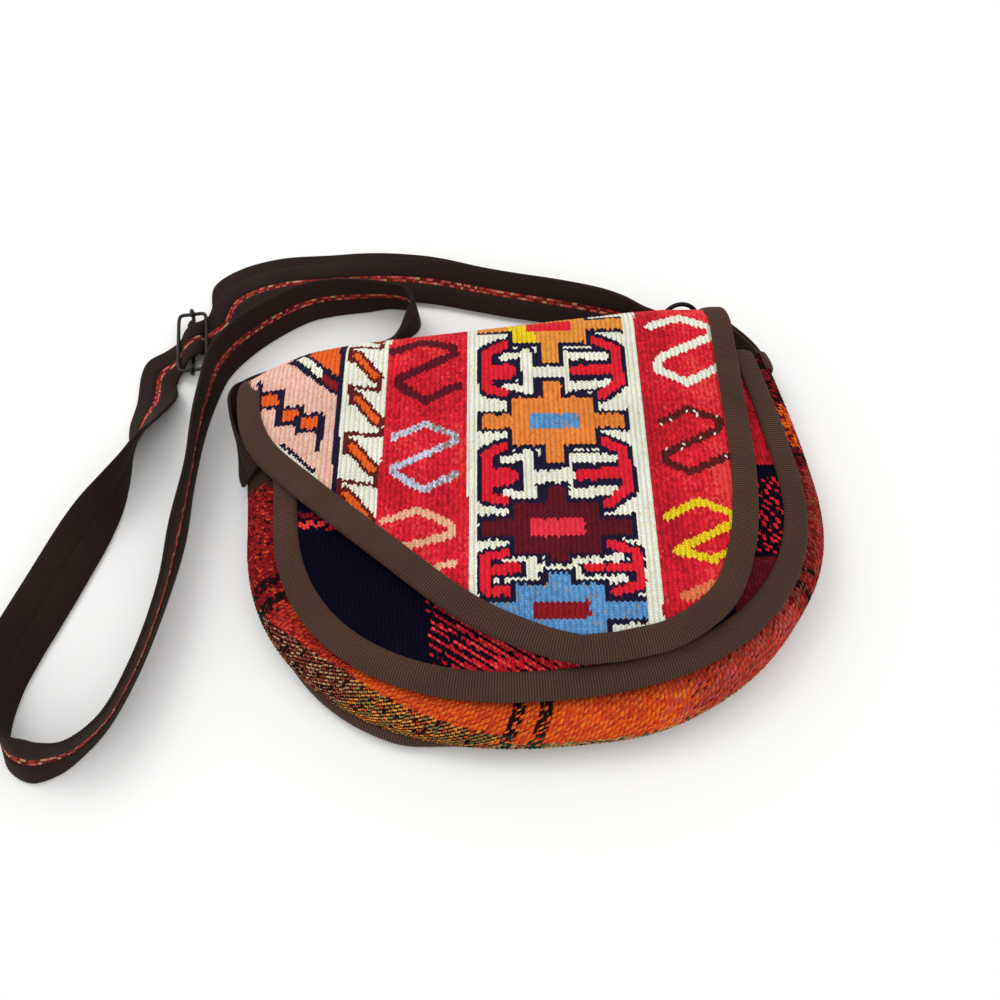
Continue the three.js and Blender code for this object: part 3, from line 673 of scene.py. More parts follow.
@dataclass(frozen=True)
class WireFinish:
    """Finish of a metal wire, dulled unevenly by handling."""

    name: str
    colour: str
    bright: float = 0.22
    dull: float = 0.5

    def material(self) -> Material:
        """Build the material: a dark metal.

        Returns:
            The material.
        """
        material, tree, shader = new_material(self.name)
        smears = spread(tree, add_noise(tree, *SMEARS), SMEAR_MIDDLE, (self.bright, self.dull))
        feed(tree, shader, {"Base Color": opaque(self.colour), "Metallic": 1.0, "Roughness": smears})
        return material


KILIM_YARN = ClothFinish("kilim_yarn", grain=1900.0, sheen=0.03, gloss=0.1)
KILIM_GROUND = ClothFinish("kilim_ground", "5a1a1c")
TWILL_YARN = ClothFinish("twill_yarn", grain=2100.0, sheen=0.0, gloss=0.04)
TWILL_GROUND = ClothFinish("twill_ground", "0a0710", sheen=0.0, gloss=0.04)
GUSSET_GROUND = ClothFinish("gusset_ground", "5c1f10", sheen=0.0, gloss=0.04)
RIBBON = ClothFinish("ribbon_weave", "523b31", 0.8, 0.02, 2600.0, bump=0.2, gloss=0.08, ribbed=True)
STRAP_RIBBON = replace(RIBBON, name="strap_ribbon", colour="2e201c")
GUNMETAL = WireFinish("gunmetal_wire", "3a3433")
BLACK_WIRE = WireFinish("black_wire", "26262a", 0.25, 0.45)


@dataclass(frozen=True)
class Weave:
    """Field of slanting wool stitches in columns, laid on a surface.

    The slant changes side from column to column, so that every two columns make a chain. Each
    stitch is a small pillow: it is highest in its middle, lower where it meets the next in its
    column or its partner in the chain, and lowest between the chains. Where the returning columns
    are narrow the chains read as a twill.
    """

    column: float
    row: float
    slant: float
    floor: float
    relief: float
    jitter: float = 0.00006
    seed: int = 7
    returning: float = 0.5

    ATTRIBUTE = "stitch_colour_and_shade"
    CREST = ((0.0, 0.0), (0.45, 1.0), (0.4, 0.6), (0.45, 1.0))
    # SHADES is painted shade in the notches and between the chains, and painted highlight on the stitches'
    # middles; GAIN brightens the yarns to make up for that painted shade.
    SHADES = ((0.52, 0.74), (0.70, 1.16), (0.76, 1.0), (0.70, 1.16))
    GAIN = 1.18
    SWELL_SPREAD = 0.12
    DYE_SPREAD = 0.11
    TWILL_RETURNING = 0.3
    STITCH = "stitch"

    def piece(
        self, name: str, size: Pair, surface: Surface, keep: Rule, paint: Rule, finish: ClothFinish
    ) -> Object:
        """Weave one piece.

        Args:
            name: The piece's name.
            size: Width and length of the field before it is trimmed.
            surface: Gives places from field coordinates and a height over the cloth's middle.
            keep: Says which stitches stay, by their middles.
            paint: Gives the colours of stitches, by their middles.
            finish: The cloth's finish.

        Returns:
            The woven piece, with its stitches' colours and their painted shade in an attribute.
        """
        rng = np.random.default_rng(self.seed)
        columns, rows = round(size[0] / self.column), round(size[1] / self.row)
        across, down = 2 * columns, 2 * rows
        i, j = np.meshgrid(np.arange(across + 1), np.arange(down + 1))
        u = self._across(i) + rng.normal(0, self.jitter, i.shape)
        zigzag = np.array((0.5, 0.0, -0.5, 0.0))[i % 4]
        v = j * self.row / 2 + zigzag * self.slant + rng.normal(0, self.jitter, i.shape)
        crest = self._by_place(self.CREST, i, j)
        swell = 1.0 + rng.normal(0, self.SWELL_SPREAD, i.shape)
        places = surface(u.ravel(), v.ravel(), (self.floor + self.relief * crest * swell).ravel())
        mesh = new_grid(across, down)
        stitch = mesh.faces.layers.int.new(self.STITCH)
        for face in mesh.faces:
            middle = face.calc_center_median()
            face[stitch] = int((middle.y + 0.5) * rows) * columns + int((middle.x + 0.5) * columns)
        # Painted shade and highlight at every vertex, multiplied into the stitches' colours when they are
        # written.
        shade_grid(mesh, self._by_place(self.SHADES, i, j))
        place_grid(mesh, places.reshape(*i.shape, 3))
        a, b = np.meshgrid(np.arange(columns), np.arange(rows))
        a, b = self._across(2 * a.ravel() + 1), (b.ravel() + 0.5) * self.row
        kept = keep(a, b)
        stitch = mesh.faces.layers.int[self.STITCH]
        gone = [face for face in mesh.faces if not kept[face[stitch]]]
        bmesh.ops.delete(mesh, geom=gone, context="FACES")
        # Yarns brightened to make up for the painted shade.
        colours = self.GAIN * paint(a, b) * (1.0 + rng.normal(0, self.DYE_SPREAD, (len(a), 1)))
        piece = finished_piece(name, mesh, finish.material())
        self._dye_and_shade(piece.data, np.clip(colours, 0.0, 1.0))
        return piece

    def _across(self, half_columns: Array) -> Array:
        """Distance across the field to a number of half columns."""
        stops = np.array((0.0, 1 - self.returning, 2 - 2 * self.returning, 2 - self.returning))
        return (half_columns // 4 * 2 + stops[half_columns % 4]) * self.column

    def _by_place(self, values: tuple, i: Array, j: Array) -> Array:
        """Pick values by the half column in the chain, at a notch or at a stitch's middle.

        Args:
            values: Four pairs of values.
            i: Half columns.
            j: Half rows.

        Returns:
            One value a vertex.
        """
        table = np.array(values)
        if self.returning < self.TWILL_RETURNING:
            table[3] = table[0]
        return table[i % 4, j % 2]

    def _dye_and_shade(self, mesh: bpy.types.Mesh, colours: Array) -> None:
        """Write the stitches' colours to the face corners, with painted shade in the grooves and painted
        highlight on the crests.

        Args:
            mesh: The woven mesh, with its stitch and shade layers.
            colours: One linear colour a stitch.
        """
        stitch = read_values(mesh.attributes[self.STITCH].data, "value", np.int32)
        shade = read_values(mesh.attributes[SHADE].data, "value", np.float32)
        corner = read_values(mesh.loops, "vertex_index", np.int32)
        sides = read_values(mesh.polygons, "loop_total", np.int32)
        # Painted shade: each corner's colour is multiplied by the painted shade at its vertex.
        tint = np.minimum(colours[np.repeat(stitch, sides)] * shade[corner][:, None], 1.0)
        dyed = np.column_stack([tint, np.ones(len(tint))]).astype(np.float32)
        mesh.attributes.new(self.ATTRIBUTE, "FLOAT_COLOR", "CORNER").data.foreach_set("color", dyed.ravel())
        for name in (self.STITCH, SHADE):
            mesh.attributes.remove(mesh.attributes[name])


def read_values(items: bpy.types.bpy_prop_collection, field: str, kind: type) -> Array:
    """Read one field of all the items of a mesh."""
    values = np.zeros(len(items), kind)
    items.foreach_get(field, values)
    return values


class Chart:
    """Colour plan of a weave: shapes painted over each other, in millimetres of cloth."""

    def __init__(self, x: Array, y: Array, ground: Yarn) -> None:
        """Start a chart at the stitches' middles, all in one yarn."""
        self.x = x
        self.y = y
        self.colours = np.tile(ground.linear, (len(x), 1))

    def paint(self, mask: Array, yarn: Yarn) -> None:
        """Lay one yarn where the mask says."""
        self.colours[mask] = yarn.linear

    def draw(self, yarn: Yarn, width: float, *points: Pair) -> None:
        """Lay one yarn along a line."""
        self.paint(self.stroke(points, width), yarn)

    def fill(self, yarn: Yarn, *points: Pair) -> None:
        """Lay one yarn inside a polygon."""
        self.paint(self.field(points), yarn)

    def worked_in(self, yarn: Yarn) -> Array:
        """Stitches that now have one yarn."""
        return np.all(self.colours == yarn.linear, axis=1)

    def field(self, points: Points) -> Array:
        """Stitches inside a polygon.

        Args:
            points: Its corners.

        Returns:
            True for each such stitch.
        """
        inside = np.zeros(len(self.x), bool)
        for (x1, y1), (x2, y2) in zip(points, [*points[1:], points[0]]):
            if y1 == y2:
                continue
            crosses = (y1 > self.y) != (y2 > self.y)
            edge = x1 + (self.y - y1) * (x2 - x1) / (y2 - y1)
            inside ^= crosses & (self.x < edge)
        return inside

    def stroke(self, points: Points, width: float) -> Array:
        """Stitches within half a width of a line through points.

        Args:
            points: Points along it.
            width: Its width.

        Returns:
            True for each such stitch.
        """
        near = np.zeros(len(self.x), bool)
        for (x1, y1), (x2, y2) in zip(points, points[1:]):
            run, rise = x2 - x1, y2 - y1
            share = ((self.x - x1) * run + (self.y - y1) * rise) / max(run * run + rise * rise, 1e-9)
            share = np.clip(share, 0.0, 1.0)
            near |= np.hypot(self.x - x1 - share * run, self.y - y1 - share * rise) <= width / 2
        return near

    def beyond(self, at_zero: float, slope: float) -> Array:
        """Stitches to the right of a slanting line."""
        return self.x > at_zero + slope * self.y

    def box(self, left: float, right: float, low: float, high: float) -> Array:
        """Stitches inside an upright box."""
        return (self.x > left) & (self.x < right) & (self.y > low) & (self.y < high)

    def turned(self, centre: Pair, tilt: float) -> tuple[Array, Array]:
        """Coordinates about a centre, turned with the weave's own tilt."""
        x, y = self.x - centre[0], self.y - centre[1]
        return x * math.cos(tilt) - y * math.sin(tilt), x * math.sin(tilt) + y * math.cos(tilt)


@dataclass(frozen=True)
class Medallion:
    """Stepped cross: a body with two arms, two stems and a bar in its middle."""

    centre: Pair
    yarn: Yarn
    bar: Yarn
    half_body: Pair = (19.5, 13.5)
    arm: Pair = (35.5, 4.0)
    stem: Pair = (4.7, 24.0)
    half_bar: Pair = (12.0, 4.2)
    short_by: float = 0.0

    OUTLINE = 2.3
    STEP_BELOW = 3.0

    def paint(self, chart: Chart) -> None:
        """Paint the cross with its dark outline and its bar.

        Args:
            chart: The chart to paint.
        """
        u, v = chart.turned(self.centre, KilimPattern.TILT)
        below = v < -self.half_body[1] - self.STEP_BELOW
        u, v = np.abs(u), np.abs(v) + self.short_by * below
        for grow, yarn in ((self.OUTLINE, Yarn.NAVY), (0.0, self.yarn)):
            for across, up in (self.half_body, self.arm, self.stem):
                chart.paint((u < across + grow) & (v < up + grow), yarn)
        chart.paint((u < self.half_bar[0]) & (v < self.half_bar[1]), self.bar)


@dataclass(frozen=True)
class HookPair:
    """Figures between two medallions: a cream H, and a red hooked comb on each side of it.

    The H starts with its left upright, and its fifth line is the right one. Each line is a width
    and its points.
    """

    centre: Pair
    short: bool = False

    OUTLINE = 4.4
    LADDER = (
        (5.3, (-8.2, 13.2), (-9.5, -11.0)),
        (4.2, (-8.0, 12.3), (-19.5, 11.0)),
        (4.0, (-9.0, -10.0), (-20.5, -7.5)),
        (6.8, (-8.0, 0.3), (9.0, -1.0)),
        (5.0, (10.0, 10.2), (8.0, -12.2)),
        (5.0, (10.0, 9.3), (30.8, 6.6)),
        (5.2, (8.5, -11.0), (29.5, -10.4)),
    )
    COMBS = (
        (5.0, (-18.5, 18.8), (-27.5, 15.0), (-29.3, -8.6), (-21.5, -10.8)),
        (9.6, (-24.0, 1.8), (-18.8, 1.8)),
        (5.0, (27.0, 17.5), (36.8, 11.0), (35.8, -10.4), (25.2, -17.6)),
        (6.0, (15.2, -1.0), (35.0, -1.5)),
    )
    SHORT_OUTLINE = 3.4
    SHORT_LADDER = (
        (4.8, (-8.0, 5.9), (-8.3, -4.2)),
        (2.3, (-8.0, 6.2), (-20.0, 6.2)),
        (2.6, (-8.3, -4.4), (-20.0, -2.6)),
        (4.2, (-7.0, 1.7), (8.5, 1.4)),
        (5.0, (10.0, 4.6), (10.0, -5.8)),
        (3.6, (10.0, 4.2), (31.0, 3.0)),
        (3.6, (10.0, -6.0), (31.0, -7.5)),
    )
    SHORT_COMBS = (
        (4.2, (-18.5, 10.5), (-28.5, 9.0), (-29.5, -7.5), (-20.0, -8.2)),
        (5.2, (-24.0, 2.6), (-15.5, 2.8)),
        (4.2, (27.5, 10.0), (38.5, 5.0), (38.5, -11.0), (26.5, -13.0)),
        (3.4, (15.5, -0.3), (37.0, -2.7)),
    )

    def paint(self, chart: Chart) -> None:
        """Paint the outlines first, then the ladder and the combs.

        Args:
            chart: The chart to paint.
        """
        local = Chart(chart.x - self.centre[0], chart.y - self.centre[1], Yarn.CREAM)
        ladder, combs, outline = self.LADDER, self.COMBS, self.OUTLINE
        if self.short:
            ladder, combs, outline = self.SHORT_LADDER, self.SHORT_COMBS, self.SHORT_OUTLINE
        (_, left_top, left_low), (_, right_top, right_low) = ladder[0], ladder[4]
        chart.paint(local.field((left_top, right_top, right_low, left_low)), Yarn.NAVY)
        outlines = [(width + outline, *points) for width, *points in ladder + combs]
        for lines, yarn in ((outlines, Yarn.NAVY), (ladder, Yarn.CREAM), (combs, Yarn.RED)):
            for width, *points in lines:
                chart.paint(local.stroke(points, width), yarn)


def moved(point: Pair, by: Pair) -> Pair:
    """Plan point moved by a step."""
    return point[0] + by[0], point[1] + by[1]


class KilimPattern:
    """Bands and figures of the flap, charted in millimetres from the bag's origin.

    Past the fold the chart runs on round it and down the back, with the figures repeated. Each
    hook is a yarn, a width and its points.
    """

    SEED = 11
    ROW_SPREAD = 0.25
    TILT = math.radians(5.3)
    REPEAT = 58.5
    MEDALLIONS = (
        Medallion((0.8, -64.8), Yarn.BLUE, Yarn.WINE, (19.5, 12.0), (38.2, 3.8), (4.7, 17.4), (12.5, 4.0)),
        Medallion(
            (4.5, -24.5), Yarn.MAROON, Yarn.BRIGHT_RED, (19.5, 13.0), (33.2, 4.3), (4.2, 21.5), (12.5, 4.6),
            short_by=4.6,
        ),
        Medallion((10.5, 34.0), Yarn.ORANGE, Yarn.BLUE, (19.5, 14.0), (34.4, 4.0)),
        Medallion((16.0, 95.5), Yarn.GOLD, Yarn.RED, (19.0, 13.0), (38.0, 4.4), (4.0, 26.0), (11.5, 5.0)),
        Medallion((21.5, 154.0), Yarn.BLUE, Yarn.WINE),
        Medallion((25.0, 212.5), Yarn.MAROON, Yarn.BRIGHT_RED),
        Medallion((28.0, 271.0), Yarn.ORANGE, Yarn.BLUE),
        Medallion((31.0, 329.5), Yarn.GOLD, Yarn.RED),
    )
    MIDDLE_BAND = (-33.7, 0.088)
    LEFT_MARGIN = (-29.3, 0.088)
    RIGHT_MARGIN = (45.0, 0.1)
    FADED = ((-5, 80), (9, 80), (7, 100), (-5, 100))
    SHORT_PAIR = (-1.0, -45.5)
    PAIRS = ((4.0, 3.0), (10.4, 64.4), (18.5, 125.0), (23.0, 183.0), (26.5, 242.0), (29.5, 300.0))
    LEFT_BAND = (-75.0, 0.11)
    RIGHT_BAND = (51.2, 0.1)
    BAND_WIDTH = 40.0
    RIPPLES = ((0.5, 0.03, 0.11), (0.35, 0.31, 0.02))
    RIPPLED = 0.55
    TONE_SEED = 3
    TONE_SPREAD = 0.35
    TONE_MIDDLE = 0.45
    DARKER = ((-0.25, Yarn.DEEP_RED), (-0.55, Yarn.CRIMSON))
    BRIGHTER = 0.55
    LEFT_HOOKS = (
        (
            Yarn.MAROON, 4.8,
            (-64, 85), (-49.5, 90), (-34, 85), (-33, 80), (-62, 67.5), (-62, 63), (-50, 52.5), (-33, 60),
        ),
        (
            Yarn.LILAC, 3.7, (-66, 32.5),
            (-50.5, 38.5), (-37.5, 31), (-37.5, 27), (-67, 15.5), (-67, 12), (-54, 1.5), (-39, 8.5),
        ),
        (Yarn.SALMON, 3.7, (-73, -13), (-57, -9), (-42.5, -18.5), (-43.5, -23.5), (-66, -27.5)),
        (Yarn.SALMON, 3.4, (-53, -39.5), (-43, -37.5)),
    )
    RIGHT_HOOKS = (
        (
            Yarn.CREAM, 4.6,
            (67, 88), (84, 93), (98.5, 86), (98, 80), (68, 66.5), (66, 60), (79, 50.5), (99, 60.5),
        ),
        (
            Yarn.DARK_BROWN, 3.9,
            (62, 28), (76, 34.5), (90.5, 27), (88.5, 21.5), (60, 9.5), (60, 5), (70, -1.5), (92, 6.8),
        ),
        (
            Yarn.YELLOW, 3.9,
            (54, -24.5), (70, -17.5), (85, -25), (84, -30), (55.5, -41.5), (70, -47), (83, -43),
        ),
        (Yarn.CORAL, 4.8, (55, -63.5), (70, -59.0)),
    )
    SLASHES = ((-82.8, 85.7), (-83.4, 58.8), (-86.8, 31.0), (-90.2, 4.8), (-93.0, -22.0))
    SLASH = (10.2, -16.5)
    SLASH_PITCH = 27.4
    SLASH_LEAN = 0.075
    SLASH_START = -94.5
    SLASHES_ABOVE = 9
    SLASH_FOOT = (2.4, (1.0, 3.0), (0.8, -8.0))
    SLASH_HEAD = (3.0, (-2.2, 6.5), (-2.2, -4.0))
    SLASH_LINK = (2.2, (0.8, -8.2), (-2.6, 6.6))
    SLASH_BODY = (6.6, (0.0, 0.0), (0.0, 0.0))
    SLASH_CORE = (3.3, (0.6, -1.0), (-0.4, 0.7))
    CORNER_END = -97.2
    CORNER_LINES = (
        (Yarn.NAVY, 2.6, (-131.5, 78), (-131.2, 62)),
        (Yarn.NAVY, 3.0, (-101, 51), (-100.5, 44), (-102.5, 31)),
        (Yarn.CREAM, 2.6, (-121, 36), (-104, 15.5)),
        (Yarn.NAVY, 1.9, (-120, 37.5), (-104.5, 18.5)),
    )
    CHAIN = ((-126.0, 65.2), (-115.8, 53.2), (-106.3, 47.0))
    CHAIN_HALF = (4.2, 3.3)
    CHAIN_LEAN = 0.1
    CHAIN_OUTLINE = 1.75
    TRIANGLE = (
        (Yarn.NAVY, (-117.5, 87), (-110, 98), (-84, 98), (-88, 60.5), (-92, 60.0)),
        (Yarn.CREAM, (-113, 89), (-109, 91), (-99.2, 77), (-99.8, 73), (-101.5, 74)),
        (Yarn.WINE, (-99, 75.5), (-90, 66.5), (-90, 62.5), (-92.5, 63.5), (-99.8, 71)),
        (Yarn.HOT_ORANGE, (-106.5, 90), (-104, 98), (-87, 98), (-89.5, 71), (-91.5, 72)),
    )
    FLECKS = (
        (Yarn.DARK_BROWN, 0.05, Yarn.CREAM), (Yarn.BLUE, 0.05, Yarn.LILAC), (Yarn.LILAC, 0.12, Yarn.GREY),
    )
    MOTTLED_FROM = -48
    MOTTLED = 0.6

    def colours(self, x: Array, y: Array) -> Array:
        """Chart the whole cloth.

        Args:
            x: Millimetres to the right.
            y: Millimetres along the cloth, running on past the fold.

        Returns:
            One linear colour a stitch.
        """
        rng = np.random.default_rng(self.SEED)
        chart = Chart(x, y + rng.normal(0, self.ROW_SPREAD, len(y)), Yarn.PINK)
        self._corner(chart)
        self._slash_band(chart)
        self._hook_band(chart, *self.LEFT_BAND, self.LEFT_HOOKS, flame=0.0)
        self._medallion_band(chart)
        self._hook_band(chart, *self.RIGHT_BAND, self.RIGHT_HOOKS, flame=1.3)
        self._flecks(chart, rng)
        return chart.colours

    def _corner(self, chart: Chart) -> None:
        """Paint the pink corner with its triangle and its chain of squares.

        Args:
            chart: The chart to paint.
        """
        for yarn, *points in self.TRIANGLE:
            chart.fill(yarn, *points)
        for line in self.CORNER_LINES:
            chart.draw(*line)
        half_wide, half_high = self.CHAIN_HALF
        for x, y in self.CHAIN:
            across, up = chart.x - x, chart.y - y + self.CHAIN_LEAN * (chart.x - x)
            square = np.maximum(np.abs(across) / half_wide, np.abs(up) / half_high)
            chart.paint(square < self.CHAIN_OUTLINE, Yarn.NAVY)
            chart.paint(square < 1.0, Yarn.HOT_ORANGE)
        chart.paint(chart.beyond(self.CORNER_END, self.SLASH_LEAN), Yarn.NAVY)

    def _slash_band(self, chart: Chart) -> None:
        """Paint the cream band with its outlined slashes, each ending in a hook.

        Args:
            chart: The chart to paint.
        """
        chart.paint(chart.beyond(self.SLASH_START, self.SLASH_LEAN), Yarn.CREAM)
        first_x, first_y = self.SLASHES[0]
        rises = self.SLASH_PITCH * np.arange(self.SLASHES_ABOVE, 0, -1)
        more = [(first_x + self.SLASH_LEAN * rise, first_y + rise) for rise in rises]
        above = None
        for start in (*more, *self.SLASHES):
            end = moved(start, self.SLASH)
            strokes = [(self.SLASH_FOOT, end, end, Yarn.BROWN), (self.SLASH_HEAD, start, start, Yarn.BROWN)]
            if above:
                strokes.append((self.SLASH_LINK, above, start, Yarn.BROWN))
            strokes.append((self.SLASH_BODY, start, end, Yarn.BROWN))
            strokes.append((self.SLASH_CORE, start, end, Yarn.HOT_ORANGE))
            for (width, leave, reach), first, last, yarn in strokes:
                chart.draw(yarn, width, moved(first, leave), moved(last, reach))
            above = end

    def _hook_band(self, chart: Chart, at_zero: float, slope: float, hooks: tuple, flame: float) -> None:
        """Paint a red band and its angular hooks, repeated past the fold.

        Args:
            chart: The chart to paint.
            at_zero: Where the band starts at the widest line.
            slope: How it leans.
            hooks: Yarn, width and points of each hook.
            flame: How much the red brightens from the band's left to its right.
        """
        band = chart.beyond(at_zero, slope)
        chart.paint(band, Yarn.RED)
        across = (chart.x - at_zero - slope * chart.y) / self.BAND_WIDTH
        drift = sum(size * np.sin(chart.x * a + chart.y * b) for size, a, b in self.RIPPLES)
        chance = np.random.default_rng(self.TONE_SEED).normal(0.0, self.TONE_SPREAD, len(chart.x))
        tone = flame * (across - self.TONE_MIDDLE) + self.RIPPLED * drift + chance
        for limit, yarn in self.DARKER:
            chart.paint(band & (tone < limit), yarn)
        chart.paint(band & (tone > self.BRIGHTER), Yarn.FLAME)
        for yarn, width, *points in hooks:
            chart.draw(yarn, width, *points)
        top = hooks[0][2][1]
        for turn in range(1, 5):
            yarn, width, *points = hooks[turn % 3]
            rise = self.REPEAT * turn + top - points[0][1]
            chart.draw(yarn, width, *((x + slope * rise, y + rise) for x, y in points))

    def _medallion_band(self, chart: Chart) -> None:
        """Paint the cream middle band with its medallions and the figures between them.

        Args:
            chart: The chart to paint.
        """
        start = chart.beyond(*self.MIDDLE_BAND)
        chart.paint(start, Yarn.CREAM)
        for pair in (HookPair(self.SHORT_PAIR, short=True), *map(HookPair, self.PAIRS)):
            pair.paint(chart)
        for medallion in self.MEDALLIONS:
            medallion.paint(chart)
        left = start & ~chart.beyond(*self.LEFT_MARGIN)
        chart.paint(left | chart.beyond(*self.RIGHT_MARGIN), Yarn.CREAM)
        chart.paint(chart.field(self.FADED) & chart.worked_in(Yarn.GOLD), Yarn.YELLOW)

    def _flecks(self, chart: Chart, rng: np.random.Generator) -> None:
        """Scatter the odd pale fleck of undyed wool over the dark hooks.

        Args:
            chart: The chart to paint.
            rng: Source of the chance.
        """
        chance = rng.random(len(chart.x))
        for yarn, share, fleck in self.FLECKS:
            chart.paint(chart.worked_in(yarn) & (chance < share), fleck)
        mottled = chart.worked_in(Yarn.LILAC) & (chart.x > self.MOTTLED_FROM)
        chart.paint(mottled & (chance < self.MOTTLED), Yarn.GREY)


def cloth_piece(name: str, middle: Array, face: float, thickness: float, finish: ClothFinish) -> Object:
    """Make the plain cloth behind a weave.

    Args:
        name: The piece's name.
        middle: Rows x columns x 3; rows cross columns gives the outward side.
        face: Height of its outer face over the middle.
        thickness: How far it reaches inwards from there.
        finish: Its finish.

    Returns:
        The sheet, thickened by a modifier.
    """
    normal = unit(np.cross(np.gradient(middle, axis=0), np.gradient(middle, axis=1)))
    outer = middle + normal * face
    mesh = new_grid(outer.shape[1] - 1, outer.shape[0] - 1)
    place_grid(mesh, outer[::-1])
    piece = finished_piece(name, mesh, finish.material())
    wall = piece.modifiers.new("thickness", "SOLIDIFY")
    wall.thickness = thickness
    wall.offset = -1.0
    return piece


@dataclass(frozen=True)
class KilimPanel:
    """Back panel and flap: one length of flat weave, turned over at the fold."""

    pouch: Pouch
    weave: Weave = Weave(0.0012, 0.0013, 0.0011, 0.0006, 0.00055)
    back_weave: Weave = Weave(0.0019, 0.0016, 0.0012, 0.0006, 0.0005)
    left_edge: Points = (
        (-140.5, 52), (-133, 33), (-111, 6), (-78, -29), (-41, -64.5), (-12, -81.5), (6, -88),
    )
    right_edge: Points = ((106, 50), (101, 2), (97, -20), (90, -43.5), (75.5, -68), (50, -83.5), (24, -88))
    columns: int = 40
    back_rows: int = 30
    fold_rows: int = 16
    flap_rows: int = 40
    thickness: float = 0.0018
    face: float = 0.0005
    flat: Pair = (0.254, 0.424)
    cut_area: float = 0.085
    trim: float = 2.5
    corner_turn: float = 0.5

    SPAN_STEPS = 24
    TOP_STEPS = 80
    FRONT_FIELD = ((-0.015, 0.026), (0.300, 0.290))
    BACK_FIELD = ((-0.012, 0.236), (0.300, 0.250))

    def edge(self, x: float, points: Points, count: int) -> Array:
        """Evenly spaced points of one edge of the flap, from the fold to the tip."""
        start = (x, float(self.pouch.flap_line(np.array(x))))
        return spaced(spline(np.array([start, *(np.array(points) * MM)]), self.SPAN_STEPS, 2), count, 2)

    def outline(self, count: int = 60) -> Array:
        """The flap's free edge from the left of the fold to the right, as plan points."""
        left = self.edge(self.pouch.flap_left, self.left_edge, count)
        right = self.edge(self.pouch.flap_right, self.right_edge, count)
        return np.vstack([left, right[::-1]])

    def flap_field(self, chart: Chart) -> Array:
        """Stitches of a chart that lie on the flap, below the fold."""
        across = np.linspace(self.pouch.flap_right, self.pouch.flap_left, self.TOP_STEPS)
        top = np.column_stack([across, self.pouch.flap_line(across)])
        return chart.field(np.vstack([self.outline(), top]) / MM)

    def fold_ends(self, turned: Array) -> tuple[Array, Array]:
        """Ends of the fold.

        Args:
            turned: Share of the turn from the back panel to the flap.

        Returns:
            Places across of its left end and of its right one.
        """
        pouch, share = self.pouch, smooth_step(turned, 0.0, 1.0)
        at_mouth = pouch.back.shift + pouch.mouth_lean
        left = (at_mouth - pouch.half_width) * (1 - share) + pouch.flap_left * share
        return left, (at_mouth + pouch.half_width) * (1 - share) + pouch.flap_right * share

    def fold_foot(self, x: Array, turned: Array) -> Array:
        """Line that the fold turns about, at a share of its turn to the flap."""
        drop = smooth_step(turned, 0.0, self.corner_turn)
        return self.pouch.fold_line(x) * (1 - drop) + self.pouch.flap_line(x) * drop

    def fold_row(self, turn: float, shares: Array) -> Array:
        """Middle points across the fold at one angle of its turn.

        Args:
            turn: Angle from 0 at the back panel to pi at the flap.
            shares: Places across, from 0 at the left to 1 at the right.

        Returns:
            Array of shares x 3.
        """
        pouch, turned = self.pouch, np.array(turn / math.pi)
        left, right = self.fold_ends(turned)
        x = left + (right - left) * shares
        low, radius = pouch.back_level(x, pouch.fold_line(x)), pouch.fold_radius(x)
        y = self.fold_foot(x, turned) + radius * math.sin(turn)
        return np.column_stack([x, y, low + radius * (1 - math.cos(turn))])

    def middle(self) -> Array:
        """Middle of the cloth, row by row from the bottom of the back to the flap's tip.

        Returns:
            Array of rows x columns x 3.
        """
        pouch = self.pouch
        seam = pouch.seam(pouch.back, 2 * self.back_rows)[0][:, :2]
        back = spanned(seam[:self.back_rows][::-1], seam[self.back_rows:], self.columns)
        shares = np.linspace(0.0, 1.0, self.columns + 1)
        fold = [self.fold_row(turn, shares) for turn in np.linspace(0.0, math.pi, self.fold_rows + 1)]
        lefts = self.edge(pouch.flap_left, self.left_edge, self.flap_rows + 1)[1:]
        rights = self.edge(pouch.flap_right, self.right_edge, self.flap_rows + 1)[1:]
        flap = spanned(lefts, rights, self.columns)
        ends = np.array((pouch.flap_left, pouch.flap_right))
        over_chord = pouch.flap_line(flap[..., 0]) - np.interp(flap[..., 0], ends, pouch.flap_line(ends))
        flap[..., 1] += np.linspace(1, 0, self.flap_rows + 1)[1:, None] ** 3 * over_chord
        return np.concatenate([lifted(back, pouch.back_level), fold, lifted(flap, pouch.flap_level)])

    def place(self, x: Array, run: Array, lift: Array) -> Array:
        """Places on the cloth: up the flap, round the fold and down the back.

        Args:
            x: Distance across.
            run: Distance along the cloth, equal to y on the flap.
            lift: Height over the cloth's middle.

        Returns:
            Array of points x 3.
        """
        pouch = self.pouch
        low, radius = pouch.back_level(x, pouch.fold_line(x)), pouch.fold_radius(x)
        past = run - pouch.flap_line(x)
        angle = math.pi - np.clip(past / radius, 0.0, math.pi)
        down = np.maximum(past - math.pi * radius, 0.0)
        on_flap, on_back = past < 0, down > 0
        foot = self.fold_foot(x, angle / math.pi)
        y = np.where(on_flap, run, foot + radius * np.sin(angle) - down)
        turned = low + radius * (1 - np.cos(angle))
        z = np.where(on_flap, pouch.flap_level(x, y), np.where(on_back, pouch.back_level(x, y), turned))
        normal = np.column_stack([np.zeros_like(x), np.sin(angle), -np.cos(angle)])
        normal = np.where(on_back[:, None], -slope_normal(pouch.back_level, x, y), normal)
        normal = np.where(on_flap[:, None], slope_normal(pouch.flap_level, x, y), normal)
        return np.column_stack([x, y, z]) + normal * lift[:, None]

    def field(self, centre: Pair, size: Pair) -> Callable:
        """Tilt a field of stitches as the cloth's pattern is tilted.

        Args:
            centre: The field's middle, across and along the cloth.
            size: Its width and length.

        Returns:
            A function from the field's own coordinates to places across and along the cloth.
        """
        turn = KilimPattern.TILT

